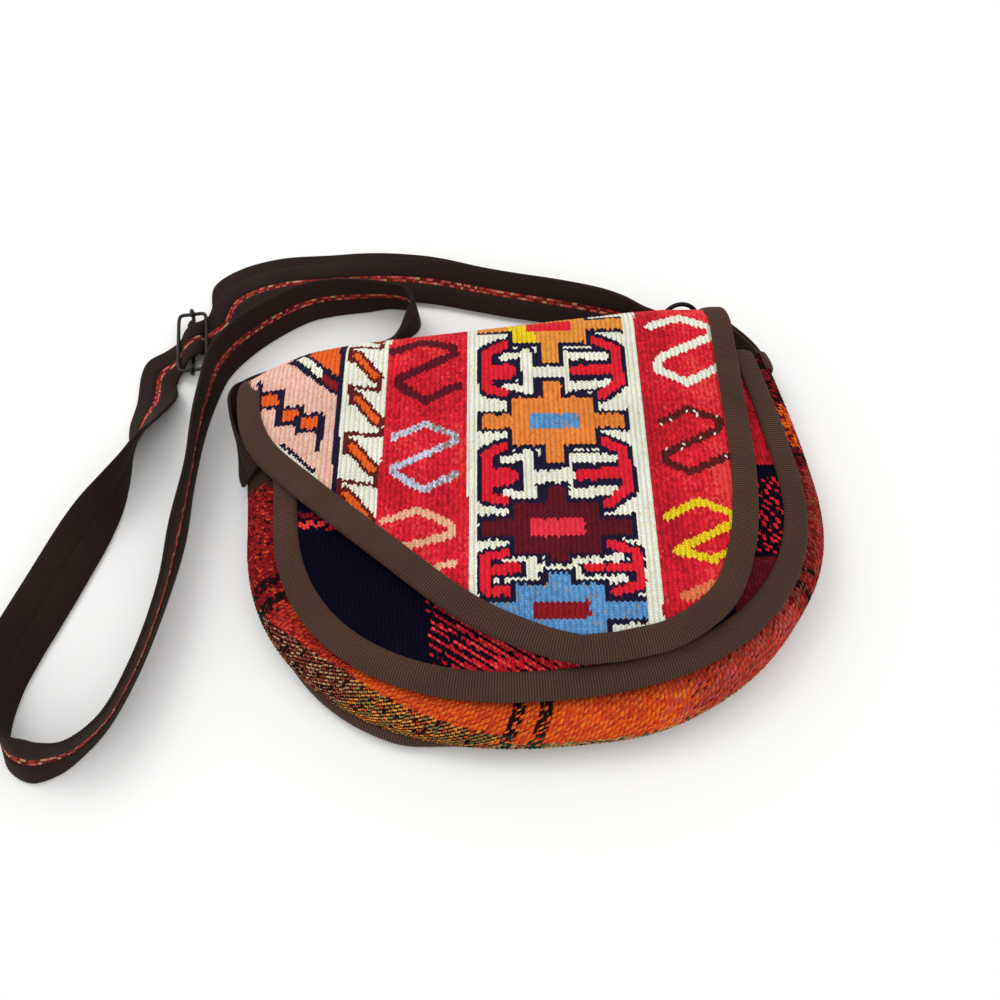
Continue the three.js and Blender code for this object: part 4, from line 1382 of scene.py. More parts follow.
        def cloth(u: Array, v: Array) -> tuple[Array, Array]:
            """Places across and along the cloth."""
            a, b = u - size[0] / 2, v - size[1] / 2
            across = centre[0] + a * math.cos(turn) + b * math.sin(turn)
            return across, centre[1] - a * math.sin(turn) + b * math.cos(turn)

        return cloth

    def shown_on_flap(self, x: Array, run: Array) -> Array:
        """Stitches of the flap, trimmed just inside its free edge."""
        chart = Chart(x / MM, run / MM, Yarn.RED)
        return self.flap_field(chart) & ~chart.stroke(self.outline() / MM, 2 * self.trim)

    def shown_on_fold(self, x: Array, run: Array) -> Array:
        """Stitches of the fold, trimmed just inside its two ends.

        Args:
            x: Places across.
            run: Places along the cloth.

        Returns:
            True for each such stitch.
        """
        past, reach = run - self.pouch.flap_line(x), math.pi * self.pouch.fold_radius(x)
        left, right = self.fold_ends(np.clip(1 - past / reach, 0, 1))
        inside = (x > left + self.trim * MM) & (x < right - self.trim * MM)
        return (past >= 0) & (past < reach + MM) & inside

    def shown_on_back(self, x: Array, run: Array) -> Array:
        """Stitches of the back panel, trimmed just inside its cut edge."""
        pouch = self.pouch
        down = run - pouch.flap_line(x) - math.pi * pouch.fold_radius(x)
        return (down > -MM) & (pouch.depth(pouch.back, x, pouch.fold_line(x) - down) > self.trim * MM)

    def build(self) -> Object:
        """Make the cloth and both faces of its weave.

        Returns:
            The cloth, with its weave beside it.
        """
        pattern, weaves = KilimPattern(), []
        cloth = cloth_piece("kilim_cloth", self.middle(), self.face, self.thickness, KILIM_GROUND)
        parts = (
            ("kilim_weave_flap", self.weave, self.FRONT_FIELD, self.shown_on_flap),
            ("kilim_weave_fold", self.weave, self.FRONT_FIELD, self.shown_on_fold),
            ("kilim_weave_back", self.back_weave, self.BACK_FIELD, self.shown_on_back),
        )
        for name, weave, (centre, size), shown in parts:
            to_cloth = self.field(centre, size)
            weaves.append(weave.piece(
                name,
                size,
                lambda u, v, lift: self.place(*to_cloth(u, v), lift),
                lambda u, v: shown(*to_cloth(u, v)),
                lambda u, v: pattern.colours(*(part / MM for part in to_cloth(u, v))),
                KILIM_YARN,
            ))
        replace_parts(cloth, "back_and_flap_panel")
        return cloth


@dataclass(frozen=True)
class FrontPanel:
    """D-shaped front panel of dark wool twill; only its border shows past the flap."""

    pouch: Pouch
    kilim: KilimPanel
    weave: Weave = Weave(0.0009, 0.0014, 0.0010, 0.0006, 0.0004, seed=21, returning=0.2)
    rows: int = 30
    columns: int = 40
    thickness: float = 0.0018
    face: float = 0.0005
    flat: Pair = (0.248, 0.177)
    cut_area: float = 0.0396
    trim: float = 0.004
    spare: float = 0.01
    shown_under_flap: float = 18.0

    SEED = 5
    TWILL_LEAN = 1.3
    TWILL_PITCH = 5.0
    RIPPLE = (0.9, 0.9, 0.55, 0.3)
    LINED = (-57, 34, -math.inf, -36)
    LINE_WIDTH = 1.3
    LINE_RAMPS = ((2.0, -57), (-3.4, 2))
    RAMP_RUN = 30
    CORE_INSET = (0.5, 0.7)
    CORE_SHARE = 0.6
    SPOTTED = (84, math.inf, -43, -2)
    SPOTS = (1.15, 0.7, 1.05, 0.6)
    SPOT_LEVEL = 0.28
    CHECKS = (
        ((84, math.inf, 4, math.inf), Yarn.DEEP_RED, Yarn.WINE, 0.3),
        ((78, math.inf, -70, -44), Yarn.MAROON, Yarn.BROWN, 0.25),
    )
    DASH = (3.4, 1.0)
    DASH_WIDTH = 2.7
    DASHES = (
        (-115.0, -0.5, Yarn.MAROON), (-110.0, -1.5, Yarn.WINE), (-104.5, -3.0, Yarn.WINE),
        (-99.0, -5.5, Yarn.MAROON), (-115.0, -6.0, Yarn.FLAME), (-109.5, -6.2, Yarn.FLAME),
        (-104.0, -7.5, Yarn.FLAME), (-98.5, -10.0, Yarn.DEEP_RED),
    )

    def middle(self) -> Array:
        """Middle of the panel, row by row from the bottom to the mouth."""
        seam = self.pouch.seam(self.pouch.front, 2 * self.rows)[0][:, :2]
        plan = spanned(seam[:self.rows], seam[self.rows:][::-1], self.columns)
        return lifted(plan, self.pouch.front_level)

    def shown(self, x: Array, y: Array) -> Array:
        """Stitches outside the flap or a little way under it.

        Args:
            x: Places across.
            y: Places along.

        Returns:
            True for each stitch that stays.
        """
        chart = Chart(x / MM, y / MM, Yarn.NAVY)
        under = chart.stroke(self.kilim.outline() / MM, 2 * self.shown_under_flap)
        near = ~self.kilim.flap_field(chart) | under
        inside = self.pouch.depth(self.pouch.front, x, y) > self.trim
        return near & inside & (y < self.pouch.mouth_y - self.trim)

    def colours(self, across: Array, along: Array) -> Array:
        """Colours of the twill: near-black, with red checks where the cloth's pattern shows.

        Args:
            across: Places across.
            along: Places along.

        Returns:
            One linear colour a stitch.
        """
        chart = Chart(across / MM, along / MM, Yarn.BLACK_NAVY)
        x, y, chance = chart.x, chart.y, np.random.default_rng(self.SEED).random(len(across))
        for left, low, yarn in self.DASHES:
            chart.draw(yarn, self.DASH_WIDTH, (left, low), moved((left, low), self.DASH))
        lean = x + self.TWILL_LEAN * y
        size, a, b, c = self.RIPPLE
        twill = np.mod(lean + size * np.sin(x * a) * np.sin(y * b + lean * c), self.TWILL_PITCH)
        ramps = (gain * np.clip((x - start) / self.RAMP_RUN, 0.0, 1.0) for gain, start in self.LINE_RAMPS)
        thick = sum(ramps, self.LINE_WIDTH)
        line = chart.box(*self.LINED) & (twill < thick)
        core = line & (twill > self.CORE_INSET[0]) & (twill < thick - self.CORE_INSET[1])
        chart.paint(line, Yarn.DEEP_RED)
        chart.paint(core & (chance < self.CORE_SHARE), Yarn.FLAME)
        a, b, c, d = self.SPOTS
        spots = np.sin(x * a + np.sin(y * b)) * np.sin(y * c + np.sin(x * d))
        chart.paint(chart.box(*self.SPOTTED) & (spots > self.SPOT_LEVEL), Yarn.RED)
        for box, ground, fleck, share in self.CHECKS:
            check = chart.box(*box)
            chart.paint(check, ground)
            chart.paint(check & (chance < share), fleck)
        return chart.colours

    def build(self) -> Object:
        """Make the panel's cloth and the part of its weave that can be seen.

        Returns:
            The cloth, with its weave beside it.
        """
        pouch = self.pouch
        size = (2 * pouch.half_width + self.spare, pouch.mouth_y + pouch.front.drop)
        left, low = -size[0] / 2, -pouch.front.drop
        cloth = cloth_piece("front_cloth", self.middle(), self.face, self.thickness, TWILL_GROUND)

        def place(u: Array, v: Array, lift: Array) -> Array:
            """Places over the panel's middle."""
            x, y = left + u, low + v
            return np.column_stack([x, y, pouch.front_level(x, y) + lift])

        twill = self.weave.piece(
            "front_twill", size, place, lambda u, v: self.shown(left + u, low + v),
            lambda u, v: self.colours(left + u, low + v), TWILL_YARN,
        )
        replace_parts(cloth, "front_panel")
        return cloth


@dataclass(frozen=True)
class Gusset:
    """Band of wool cloth round the sides and the bottom, bulging between its two seams."""

    pouch: Pouch
    weave: Weave = Weave(0.00095, 0.0014, 0.0012, 0.0005, 0.0005, seed=33, returning=0.24)
    stations: int = 900
    end_inset: float = 0.0014
    cloth_steps: tuple[int, int] = (220, 30)
    width: float = 0.044
    thickness: float = 0.0017
    face: float = 0.0004
    flat: Pair = (0.066, 0.560)
    slack_lost: float = 0.95
    slack_gained: float = 0.35
    tuck: float = 0.26

    PULLED = (0.008, 0.015)
    GAINED = (0.002, 0.009)
    BULGE_POWER = 0.8
    SLOPE_STEP = 0.004
    STRIPES = (
        (0.200, 0.209), (0.217, 0.226), (0.4535, 0.464), (0.478, 0.489), (0.735, 0.743), (0.752, 0.759),
    )
    STRIPE_SHARE = 0.74
    SEED = 9
    CLOTH_MM = (560, 44)
    CHECK_MM = (1.8, 1.4)
    LINES_MM = (4.2, 1.4)
    RAGGED = 0.0035
    TWEED_EDGE = ((0.215, 0.26, 0.31, 0.38, 0.45), (0.55, 0.27, 0.17, 0.36, 0.52))
    HEM_EDGE = ((0.44, 0.55, 0.68), (0.66, 0.62, 0.52))
    ZONES = (
        (0.0, 0.23, "all", ((Yarn.BRICK, 0.18), (Yarn.WINE, 0.68), (Yarn.RUST, 0.04), (Yarn.SOOT, 0.1))),
        (0.0, 0.105, "all", ((Yarn.PEAT, 1.0),)),
        (0.23, 0.315, "all", ((Yarn.RUST, 0.14), (Yarn.BRICK, 0.5), (Yarn.WINE, 0.36))),
        (0.315, 0.58, "all", ((Yarn.EMBER, 0.24), (Yarn.HOT_ORANGE, 0.46), (Yarn.RUST, 0.3))),
        (0.30, 0.60, "line", ((Yarn.RUST, 0.45), (Yarn.BRICK, 0.55))),
        (0.58, 0.61, "all", ((Yarn.RUST, 0.45), (Yarn.ROSE, 0.3), (Yarn.EMBER, 0.25))),
        (0.61, 0.72, "all", ((Yarn.BRICK, 0.35), (Yarn.ROSE, 0.5), (Yarn.RUST, 0.15))),
        (0.72, 0.86, "all", ((Yarn.RUSSET, 0.5), (Yarn.WINE, 0.3), (Yarn.BRICK, 0.2))),
        (0.60, 0.72, "line", ((Yarn.RUSSET, 0.5), (Yarn.BRICK, 0.35), (Yarn.BROWN, 0.15))),
        (0.72, 0.86, "line", ((Yarn.RUSSET, 0.4), (Yarn.BROWN, 0.4), (Yarn.WINE, 0.2))),
        (0.86, 0.885, "all", ((Yarn.WINE, 0.5), (Yarn.SOOT, 0.5))),
        (0.885, 0.935, "all", ((Yarn.EMBER, 0.28), (Yarn.RUST, 0.37), (Yarn.BROWN, 0.35))),
        (0.935, 1.01, "all", ((Yarn.WINE, 0.4), (Yarn.SOOT, 0.6))),
        (0.215, 0.452, "tweed", ((Yarn.SOOT, 0.85), (Yarn.BROWN, 0.15))),
        (0.215, 0.325, "check", ((Yarn.TAN, 0.36), (Yarn.RUSSET, 0.44), (Yarn.SOOT, 0.2))),
        (0.325, 0.452, "check", ((Yarn.GOLD, 0.36), (Yarn.OLIVE, 0.44), (Yarn.RUST, 0.1), (Yarn.SOOT, 0.1))),
        (0.452, 0.68, "hem", ((Yarn.OLIVE, 0.3), (Yarn.TAN, 0.3), (Yarn.BOTTLE, 0.2), (Yarn.RUST, 0.2))),
    )

    def _legs(self) -> tuple[Array, Array, Array, Array]:
        """Lines where the cloth leaves each seam, the way out, and the slack left to bulge.

        Returns:
            Upper line, lower line, outward directions and slack, station by station.
        """
        pouch = self.pouch
        upper = pouch.front_frames(self.stations).at(pouch.ease, -pouch.leg_level)
        lower = pouch.back_frames(self.stations).at(pouch.ease, pouch.leg_level)
        out, drawn = pouch.between_seams(self.stations)
        lost = self.slack_lost * self.pulled(drawn)
        return upper, lower, out, 1 - lost + self.slack_gained * smooth_step(-drawn, *self.GAINED)

    @classmethod
    def pulled(cls, drawn: Array) -> Array:
        """How far the cloth is pulled flat, where the back's edge lies well outside the front's."""
        return smooth_step(drawn, *cls.PULLED)

    def place(self, along: Array, turn: Array) -> Array:
        """Middle of the cloth.

        Args:
            along: Share of the way round, from the left of the mouth to the right.
            turn: Share of the way from the front seam to the back seam; past 0 or 1 it is in a seam.

        Returns:
            Array of points x 3.
        """
        pouch = self.pouch
        upper, lower, out, slack = (self._at(values, along) for values in self._legs())
        angle = math.pi * np.clip(turn, 0.0, 1.0)[:, None]
        drop = (1 - np.cos(angle)) / 2
        bulge = pouch.bulge * slack[:, None] * np.maximum(np.sin(angle), 0.0) ** self.BULGE_POWER
        tucked = np.maximum(np.maximum(-turn, turn - 1), 0.0)[:, None] * self.width
        return upper + (lower - upper) * drop + out * (bulge - tucked) + UP * pouch.swell * np.sin(2 * angle)

    def _at(self, values: Array, along: Array) -> Array:
        """Interpolate station values at shares of the way round.

        Args:
            values: One row a station.
            along: Shares of the way round.

        Returns:
            One row a share.
        """
        where = np.clip(along, 0.0, 1.0) * (self.stations - 1)
        low = np.minimum(where.astype(int), self.stations - 2)
        share = where - low
        share = share[:, None] if values.ndim == 2 else share
        return values[low] * (1 - share) + values[low + 1] * share

    def raised(self, along: Array, turn: Array, lift: Array) -> Array:
        """Places at a height over the cloth's middle.

        Args:
            along: Share of the way round.
            turn: Share of the way between the seams.
            lift: Height over the middle.

        Returns:
            Array of points x 3.
        """
        step = self.SLOPE_STEP
        ahead = self.place(along + step / 4, turn) - self.place(along - step / 4, turn)
        down = self.place(along, np.minimum(turn + step, 1)) - self.place(along, np.maximum(turn - step, 0))
        return self.place(along, turn) + unit(np.cross(ahead, down)) * -lift[:, None]

    def colours(self, along: Array, turn: Array) -> Array:
        """Colours of the gusset's cloth, cut from one old striped weave.

        Args:
            along: Share of the way round.
            turn: Share of the way from the front seam to the back seam.

        Returns:
            One linear colour a stitch.
        """
        rng = np.random.default_rng(self.SEED)
        first, second = rng.random(len(along)), rng.random(len(along))
        ragged = along + rng.normal(0.0, self.RAGGED, len(along))
        run, drop = along * self.CLOTH_MM[0], turn * self.CLOTH_MM[1]
        tweed = turn > np.interp(along, *self.TWEED_EDGE)
        hem = turn > np.interp(along, *self.HEM_EDGE)
        check = (np.floor(run / self.CHECK_MM[0]) + np.floor(drop / self.CHECK_MM[1])) % 2 < 1
        line = np.mod(run + drop, self.LINES_MM[0]) < self.LINES_MM[1]
        masks = {"all": True, "line": line, "tweed": tweed, "check": tweed & check, "hem": hem}
        colours = np.tile(Yarn.RUST.linear, (len(along), 1))
        for low, high, mask, yarns in self.ZONES:
            zone = (ragged >= low) & (ragged < high) & masks[mask]
            start = 0.0
            for yarn, share in yarns:
                colours[zone & (first >= start) & (first < start + share)] = yarn.linear
                start += share
        for low, high in self.STRIPES:
            stripe = (along >= low) & (along < high) & (second < self.STRIPE_SHARE)
            colours[stripe] = Yarn.SOOT.linear
            colours[stripe & (tweed | hem)] = Yarn.BOTTLE.linear
        return colours

    def build(self) -> Object:
        """Make the gusset's cloth and its weave.

        Returns:
            The cloth, with its weave beside it.
        """
        length = self.pouch.seam_length(self.pouch.front)
        inset = self.end_inset / length
        columns, rows = self.cloth_steps
        round_bag = np.linspace(inset, 1 - inset, columns + 1)
        along, turn = np.meshgrid(round_bag, np.linspace(-self.tuck, 1 + self.tuck, rows + 1))
        middle = self.place(along.ravel(), turn.ravel()).reshape(rows + 1, columns + 1, 3)
        cloth = cloth_piece("gusset_cloth", middle, self.face, self.thickness, GUSSET_GROUND)
        size = (length, self.width)

        def shares(u: Array, v: Array) -> tuple[Array, Array]:
            """Shares of the way round and of the way from seam to seam."""
            return inset + (1 - 2 * inset) * u / size[0], v / size[1]

        weave = self.weave.piece(
            "gusset_weave", size, lambda u, v, lift: self.raised(*shares(u, v), lift),
            lambda u, v: np.ones(len(u), bool), lambda u, v: self.colours(*shares(u, v)), TWILL_YARN,
        )
        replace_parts(cloth, "gusset")
        return cloth


@dataclass(frozen=True)
class RibbonBinding:
    """Ribbed ribbon folded over cut edges and seams."""

    pouch: Pouch
    kilim: KilimPanel
    gusset: Gusset
    rib: float = 0.00122
    rib_height: float = 0.00030
    puff: float = 0.0005
    end_round: float = 0.005
    end_size: float = 0.3
    hem: float = 0.006
    hem_end: Pair = (-0.075, -0.045)
    lip: float = 0.0006

    # Painted highlight on the ribs and painted shade in the grooves.
    SHADES = (1.35, 0.3)
    PUFFED = ((0.8, 0.7), (0.55, 1.0), (0.32, 0.7))
    HELD = 0.9
    NOSE = (80, 0, 5)
    NOSE_REACH = 0.9
    NOSE_PUFF = 0.3
    TURN_STEPS = 40
    FREE_STEPS = 120
    SMOOTHING = 9
    END_SPAN = (0.16, 0.84, 90)

    def section(self, thickness: float, middle: float) -> tuple[Array, Array]:
        """Section over an edge: a rounded outside and a slot for the cloth.

        Args:
            thickness: What the ribbon holds.
            middle: Height of the held edge's middle.

        Returns:
            Points as outward distance and height, and the directions in which ribs stand.
        """
        pouch = self.pouch
        inner = thickness / 2 + pouch.gap
        outer = inner + pouch.ribbon
        leaf, held = pouch.leaf, self.HELD * inner
        turn = np.radians(np.linspace(*self.NOSE))
        reach = self.NOSE_REACH * outer
        upper_out = [-leaf, -leaf + self.lip, *(-share * leaf for share, _ in self.PUFFED)]
        upper_rise = [inner, outer, *(outer + share * self.puff for _, share in self.PUFFED)]
        out = np.concatenate([upper_out, pouch.standoff - reach + reach * np.cos(turn)])
        rise = np.concatenate([upper_rise, (outer + self.NOSE_PUFF * self.puff) * np.sin(turn)])
        level = np.tile((0.0, 1.0), (len(upper_out), 1))
        ribs = np.vstack([level, np.column_stack([np.cos(turn), np.sin(turn)])])
        ribs[0] = 0.0
        slot = np.array([(-leaf, -held), (-self.lip, -held), (-self.lip, held), (-leaf, held)])
        upper = np.column_stack([out, rise])
        lower, lower_ribs = upper[-2::-1] * (1, -1), ribs[-2::-1] * (1, -1)
        points = np.vstack([upper, lower, slot]) + (0.0, middle)
        return points, np.vstack([ribs, lower_ribs, np.zeros_like(slot)])

    def piece(
        self, name: str, frames: Frames, thickness: float, middle: float = 0.0, rounded: bool = False
    ) -> Object:
        """Sweep the ribbon along an edge.

        Args:
            name: The piece's name, with the node it stands for before "_ribbon".
            frames: Places half a rib apart.
            thickness: What the ribbon holds.
            middle: Height of the held edge's middle.
            rounded: Whether its ends are tucked round.

        Returns:
            The ribbon.
        """
        points, ribs = self.section(thickness, middle)
        count = len(frames.origin)
        stand = alternating(count, 0.5, -0.5) * self.rib_height
        shape = points[None] + ribs[None] * stand[:, None, None]
        if rounded:
            along = lengths_along(frames.origin)
            inward = np.clip(1 - np.minimum(along, along[-1] - along) / self.end_round, 0.0, 1.0)
            size = np.maximum(np.sqrt(1 - inward ** 2), self.end_size)
            centre = np.array((-self.pouch.leaf / 2, middle))
            shape = centre + (shape - centre) * size[:, None, None]
        sections = frames.sections(shape[..., 0], shape[..., 1])
        # Painted rib highlight and groove shade, station by station.
        shades = alternating(count, *self.SHADES)
        piece = finished_piece(name, skin(sections, shades=shades), RIBBON.material())
        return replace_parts(piece, name.removesuffix("_ribbon"))

    def half_ribs(self, length: float) -> int:
        """Number of places half a rib apart along a length."""
        return 2 * round(length / self.rib) + 1

    def build(self) -> list[Object]:
        """Bind every edge.

        Returns:
            The ribbons.
        """
        pouch = self.pouch
        stack_middle = (pouch.gap + pouch.wool) / 2
        front = pouch.front_frames(self.half_ribs(pouch.seam_length(pouch.front)))
        back = pouch.back_frames(self.half_ribs(pouch.seam_length(pouch.back)))
        _, drawn = pouch.between_seams(len(back.origin))
        shown = self.gusset.pulled(drawn) * (1 - smooth_step(back.origin[:, 0], *self.hem_end))
        back = replace(back, origin=back.at(self.hem * shown, 0.0))
        kilim, wool = pouch.kilim + pouch.ease, pouch.wool + pouch.ease
        return [
            self.piece("front_seam_binding_ribbon", front, pouch.seam_stack, -stack_middle, rounded=True),
            self.piece("back_seam_binding_ribbon", back, pouch.seam_stack, stack_middle),
            self.piece("flap_binding_ribbon", self.flap_frames(), kilim),
            self.piece("mouth_binding_ribbon", self.mouth_frames(), kilim),
            self.piece("gusset_end_binding_left_ribbon", self.end_frames(0.0), wool),
            self.piece("gusset_end_binding_right_ribbon", self.end_frames(1.0), wool),
        ]

    def flap_frames(self) -> Frames:
        """Frames round the fold's left end, the flap's free edge and the fold's right end.

        Returns:
            Frames half a rib apart.
        """
        pouch, turns = self.pouch, np.linspace(0, math.pi, self.TURN_STEPS)
        ends = np.array([self.kilim.fold_row(turn, np.array((0.0, 1.0))) for turn in turns])
        plan = self.kilim.outline(self.FREE_STEPS)
        edge = np.vstack([ends[:-1, 0], lifted(plan, pouch.flap_level), ends[::-1, 1][1:]])
        round_fold = np.column_stack([np.zeros_like(turns), np.sin(turns), -np.cos(turns)])
        flat = slope_normal(pouch.flap_level, plan[:, 0], plan[:, 1])
        normal = np.vstack([round_fold[:-1], flat, round_fold[::-1][1:]])
        rows = resample(np.hstack([edge, normal]), self.rib / 2)
        for _ in range(self.SMOOTHING):
            rows[1:-1] = (rows[:-2] + 2 * rows[1:-1] + rows[2:]) / 4
        along = tangents(rows[:, :3])
        outward = unit(np.cross(along, rows[:, 3:]))
        return Frames(rows[:, :3], outward, np.cross(outward, along))

    def mouth_frames(self) -> Frames:
        """Frames along the front panel's top edge.

        Returns:
            Frames half a rib apart.
        """
        pouch = self.pouch
        seam_reach = pouch.leaf + 2 * pouch.wool
        reach = pouch.half_width - seam_reach
        x = pouch.mouth_lean + np.linspace(-reach, reach, self.half_ribs(2 * reach))
        y = np.full_like(x, pouch.mouth_y)
        origin = np.column_stack([x, y, pouch.front_level(x, y)])
        return Frames(origin, np.tile((0.0, 1.0, 0.0), (len(x), 1)), np.tile(UP, (len(x), 1)))

    def end_frames(self, end: float) -> Frames:
        """Frames across one upper end of the gusset.

        Args:
            end: 0 for the left end, 1 for the right.

        Returns:
            Frames half a rib apart.
        """
        turn = np.linspace(*self.END_SPAN)
        middle = resample(self.gusset.place(np.full_like(turn, end), turn), self.rib / 2)
        outward = np.tile(self.pouch.out_of_end, (len(middle), 1))
        along = tangents(middle)
        return Frames(middle + outward * self.pouch.gap, outward, unit(np.cross(outward, along)))


@dataclass(frozen=True)
class Ring:
    """Round wire ring behind the flap's right corner, leaning back on its edge."""

    centre: Place = (0.093, 0.115, 0.011)
    radius: float = 0.010
    wire: float = 0.00125
    lean: float = math.radians(64.5)
    play: float = 0.00015

    STEPS = 96
    LOOP = (90, 45, 0, -45, -90)

    @property
    def axis(self) -> Array:
        """Direction the ring turns about."""
        return np.array((0.0, -math.sin(self.lean), math.cos(self.lean)))

    @property
    def upward(self) -> Array:
        """Direction up the ring, in its own plane."""
        return np.array((0.0, math.cos(self.lean), math.sin(self.lean)))

    def build(self) -> Object:
        """Make the ring.

        Returns:
            The ring, which rides on its own body.
        """
        angles = np.linspace(0.0, 2 * math.pi, self.STEPS + 1)[:, None]
        way = np.cos(angles) * RIGHT + np.sin(angles) * self.upward
        line = np.array(self.centre) + self.radius * way
        piece = wire_piece("ring_wire", line, self.wire, self.axis, BLACK_WIRE.material(), RING)
        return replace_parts(piece, "strap_ring")

    def turn_of_band(self, side: int, layer: float, width: float, gap: float) -> Array:
        """Rows of a band that turns round the wire.

        Args:
            side: -1 at the ring's left, 1 at its right.
            layer: The band's thickness.
            width: Its width there.
            gap: Space left round the wire.

        Returns:
            Rows of place, width direction and width.
        """
        clear = self.wire + gap + layer / 2 + self.play
        rise = self.radius - math.sqrt(self.radius ** 2 - (width / 2) ** 2)
        middle = np.array(self.centre) + (side * (self.radius - rise - gap), 0.0, 0.0)
        angles = np.radians(self.LOOP)[:, None]
        turn = middle + self.axis * clear * np.sin(angles) - np.array((side * clear, 0, 0)) * np.cos(angles)
        lead = np.array((side * (3 * self.wire + layer), 0.0, 0.0))
        places = np.vstack([turn[0] + lead, turn, turn[-1] + lead])
        count = len(places)
        return np.column_stack([places, np.tile(self.upward, (count, 1)), np.full(count, width)])


def wire_piece(
    name: str, line: Array, radius: float, binormal: Array, material: Material,
    body: str = BAG, closed: bool = True,
) -> Object:
    """Draw a round wire along a line that lies in one plane.

    Args:
        name: The piece's name.
        line: Points along the wire's middle; a closed line repeats its first point.
        radius: The wire's radius.
        binormal: Direction square to the line's plane.
        material: The wire's finish.
        body: What carries it.
        closed: Whether the wire's ends meet.

    Returns:
        The wire.
    """
    along = tangents(line)
    if closed:
        along[0] = along[-1] = unit(line[1] - line[-2])
    normal = unit(np.cross(binormal, along))
    angles = np.linspace(0.0, 2 * math.pi, WIRE_SIDES, endpoint=False)[None, :, None]
    sections = line[:, None] + radius * (np.cos(angles) * normal[:, None] + np.sin(angles) * binormal)
    if closed:
        sections[-1] = sections[0]
    return finished_piece(name, skin(sections, capped=not closed), material, body)


@dataclass(frozen=True)
class Slider:
    """Wire slider on the strap: a long frame, and a bar under it with its ends hooked round the frame."""

    centre: Place = (-0.175, 0.132, 0.007)
    length: float = 0.042
    width: float = 0.017
    wire: float = 0.001
    turn: float = math.radians(3)
    crossing: float = math.radians(40)
    squareness: float = 9.0
    bar_drop: float = 0.0023
    approach: float = 0.0174
    entry: float = 0.0075

    OUTLINE_STEPS = 2001
    LINE_STEP = 0.0007
    SPAN_STEPS = 24
    STRAIGHT = (0.8, 0.9)
    HOOK = (270, 315, 0, 45, 90, 135, 165)

    @property
    def across(self) -> Array:
        """Direction of the slider's short sides."""
        return heading_at(self.turn)

    @property
    def lengthwise(self) -> Array:
        """Direction of the slider's long sides."""
        return np.cross(UP, self.across)

    @property
    def heading(self) -> Array:
        """Direction in which the strap crosses the slider."""
        return heading_at(self.turn + self.crossing)

    def strap_rows(self, points: Points, slip: float, width: float, drawn_in: float) -> Array:
        """Rows of the strap inside the slider.

        Args:
            points: Distances across the slider from its middle, and heights, in millimetres.
            slip: Distance along the slider.
            width: The strap's width outside the slider.
            drawn_in: Its width inside.

        Returns:
            Rows of place, width direction and width.
        """
        square, rows = np.cross(UP, self.heading), []
        for across, height in np.array(points) * MM:
            turned = 1 - float(smooth_step(np.array(abs(across)), self.entry, self.approach))
            wide = unit(square * (1 - turned) + self.lengthwise * turned)
            at = np.array(self.centre) + self.heading * across / math.cos(self.crossing)
            at = np.array((at[0], at[1], height)) + self.lengthwise * slip
            shown = (width + (drawn_in - width) * turned) / float(wide @ square)
            rows.append(np.concatenate([at, wide, [shown]]))
        return np.array(rows)

    def build(self) -> list[Object]:
        """Make the frame and the bar.

        Returns:
            Both wires.
        """
        half_width, half_length = self.width / 2 - self.wire, self.length / 2 - self.wire
        angles = np.linspace(0.0, 2 * math.pi, self.OUTLINE_STEPS)
        power = 2 / self.squareness
        x = np.sign(np.cos(angles)) * half_width * np.abs(np.cos(angles)) ** power
        y = np.sign(np.sin(angles)) * half_length * np.abs(np.sin(angles)) ** power
        outline = np.array(self.centre) + x[:, None] * self.across + y[:, None] * self.lengthwise
        frame_line = resample(outline, self.LINE_STEP)
        frame_line[-1] = frame_line[0]
        hook = np.radians(self.HOOK)
        straight = np.array(self.STRAIGHT) * half_length
        reach = [*straight, *(half_length + self.bar_drop * np.cos(hook))]
        rise = [*np.full_like(straight, -self.bar_drop), *(self.bar_drop * np.sin(hook))]
        half = np.column_stack([reach, rise])
        both = np.vstack([half[::-1] * (-1, 1), half])
        bar = np.array(self.centre) + both[:, :1] * self.lengthwise + both[:, 1:] * UP
        bar_line = resample(spline(bar, self.SPAN_STEPS), self.LINE_STEP)
        finish = GUNMETAL.material()
        pieces = [
            wire_piece("slider_frame_wire", frame_line, self.wire, UP, finish),
            wire_piece("slider_bar_wire", bar_line, self.wire, self.across, finish, closed=False),
        ]
        for piece in pieces:
            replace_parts(piece, piece.name.removesuffix("_wire"))
        return pieces


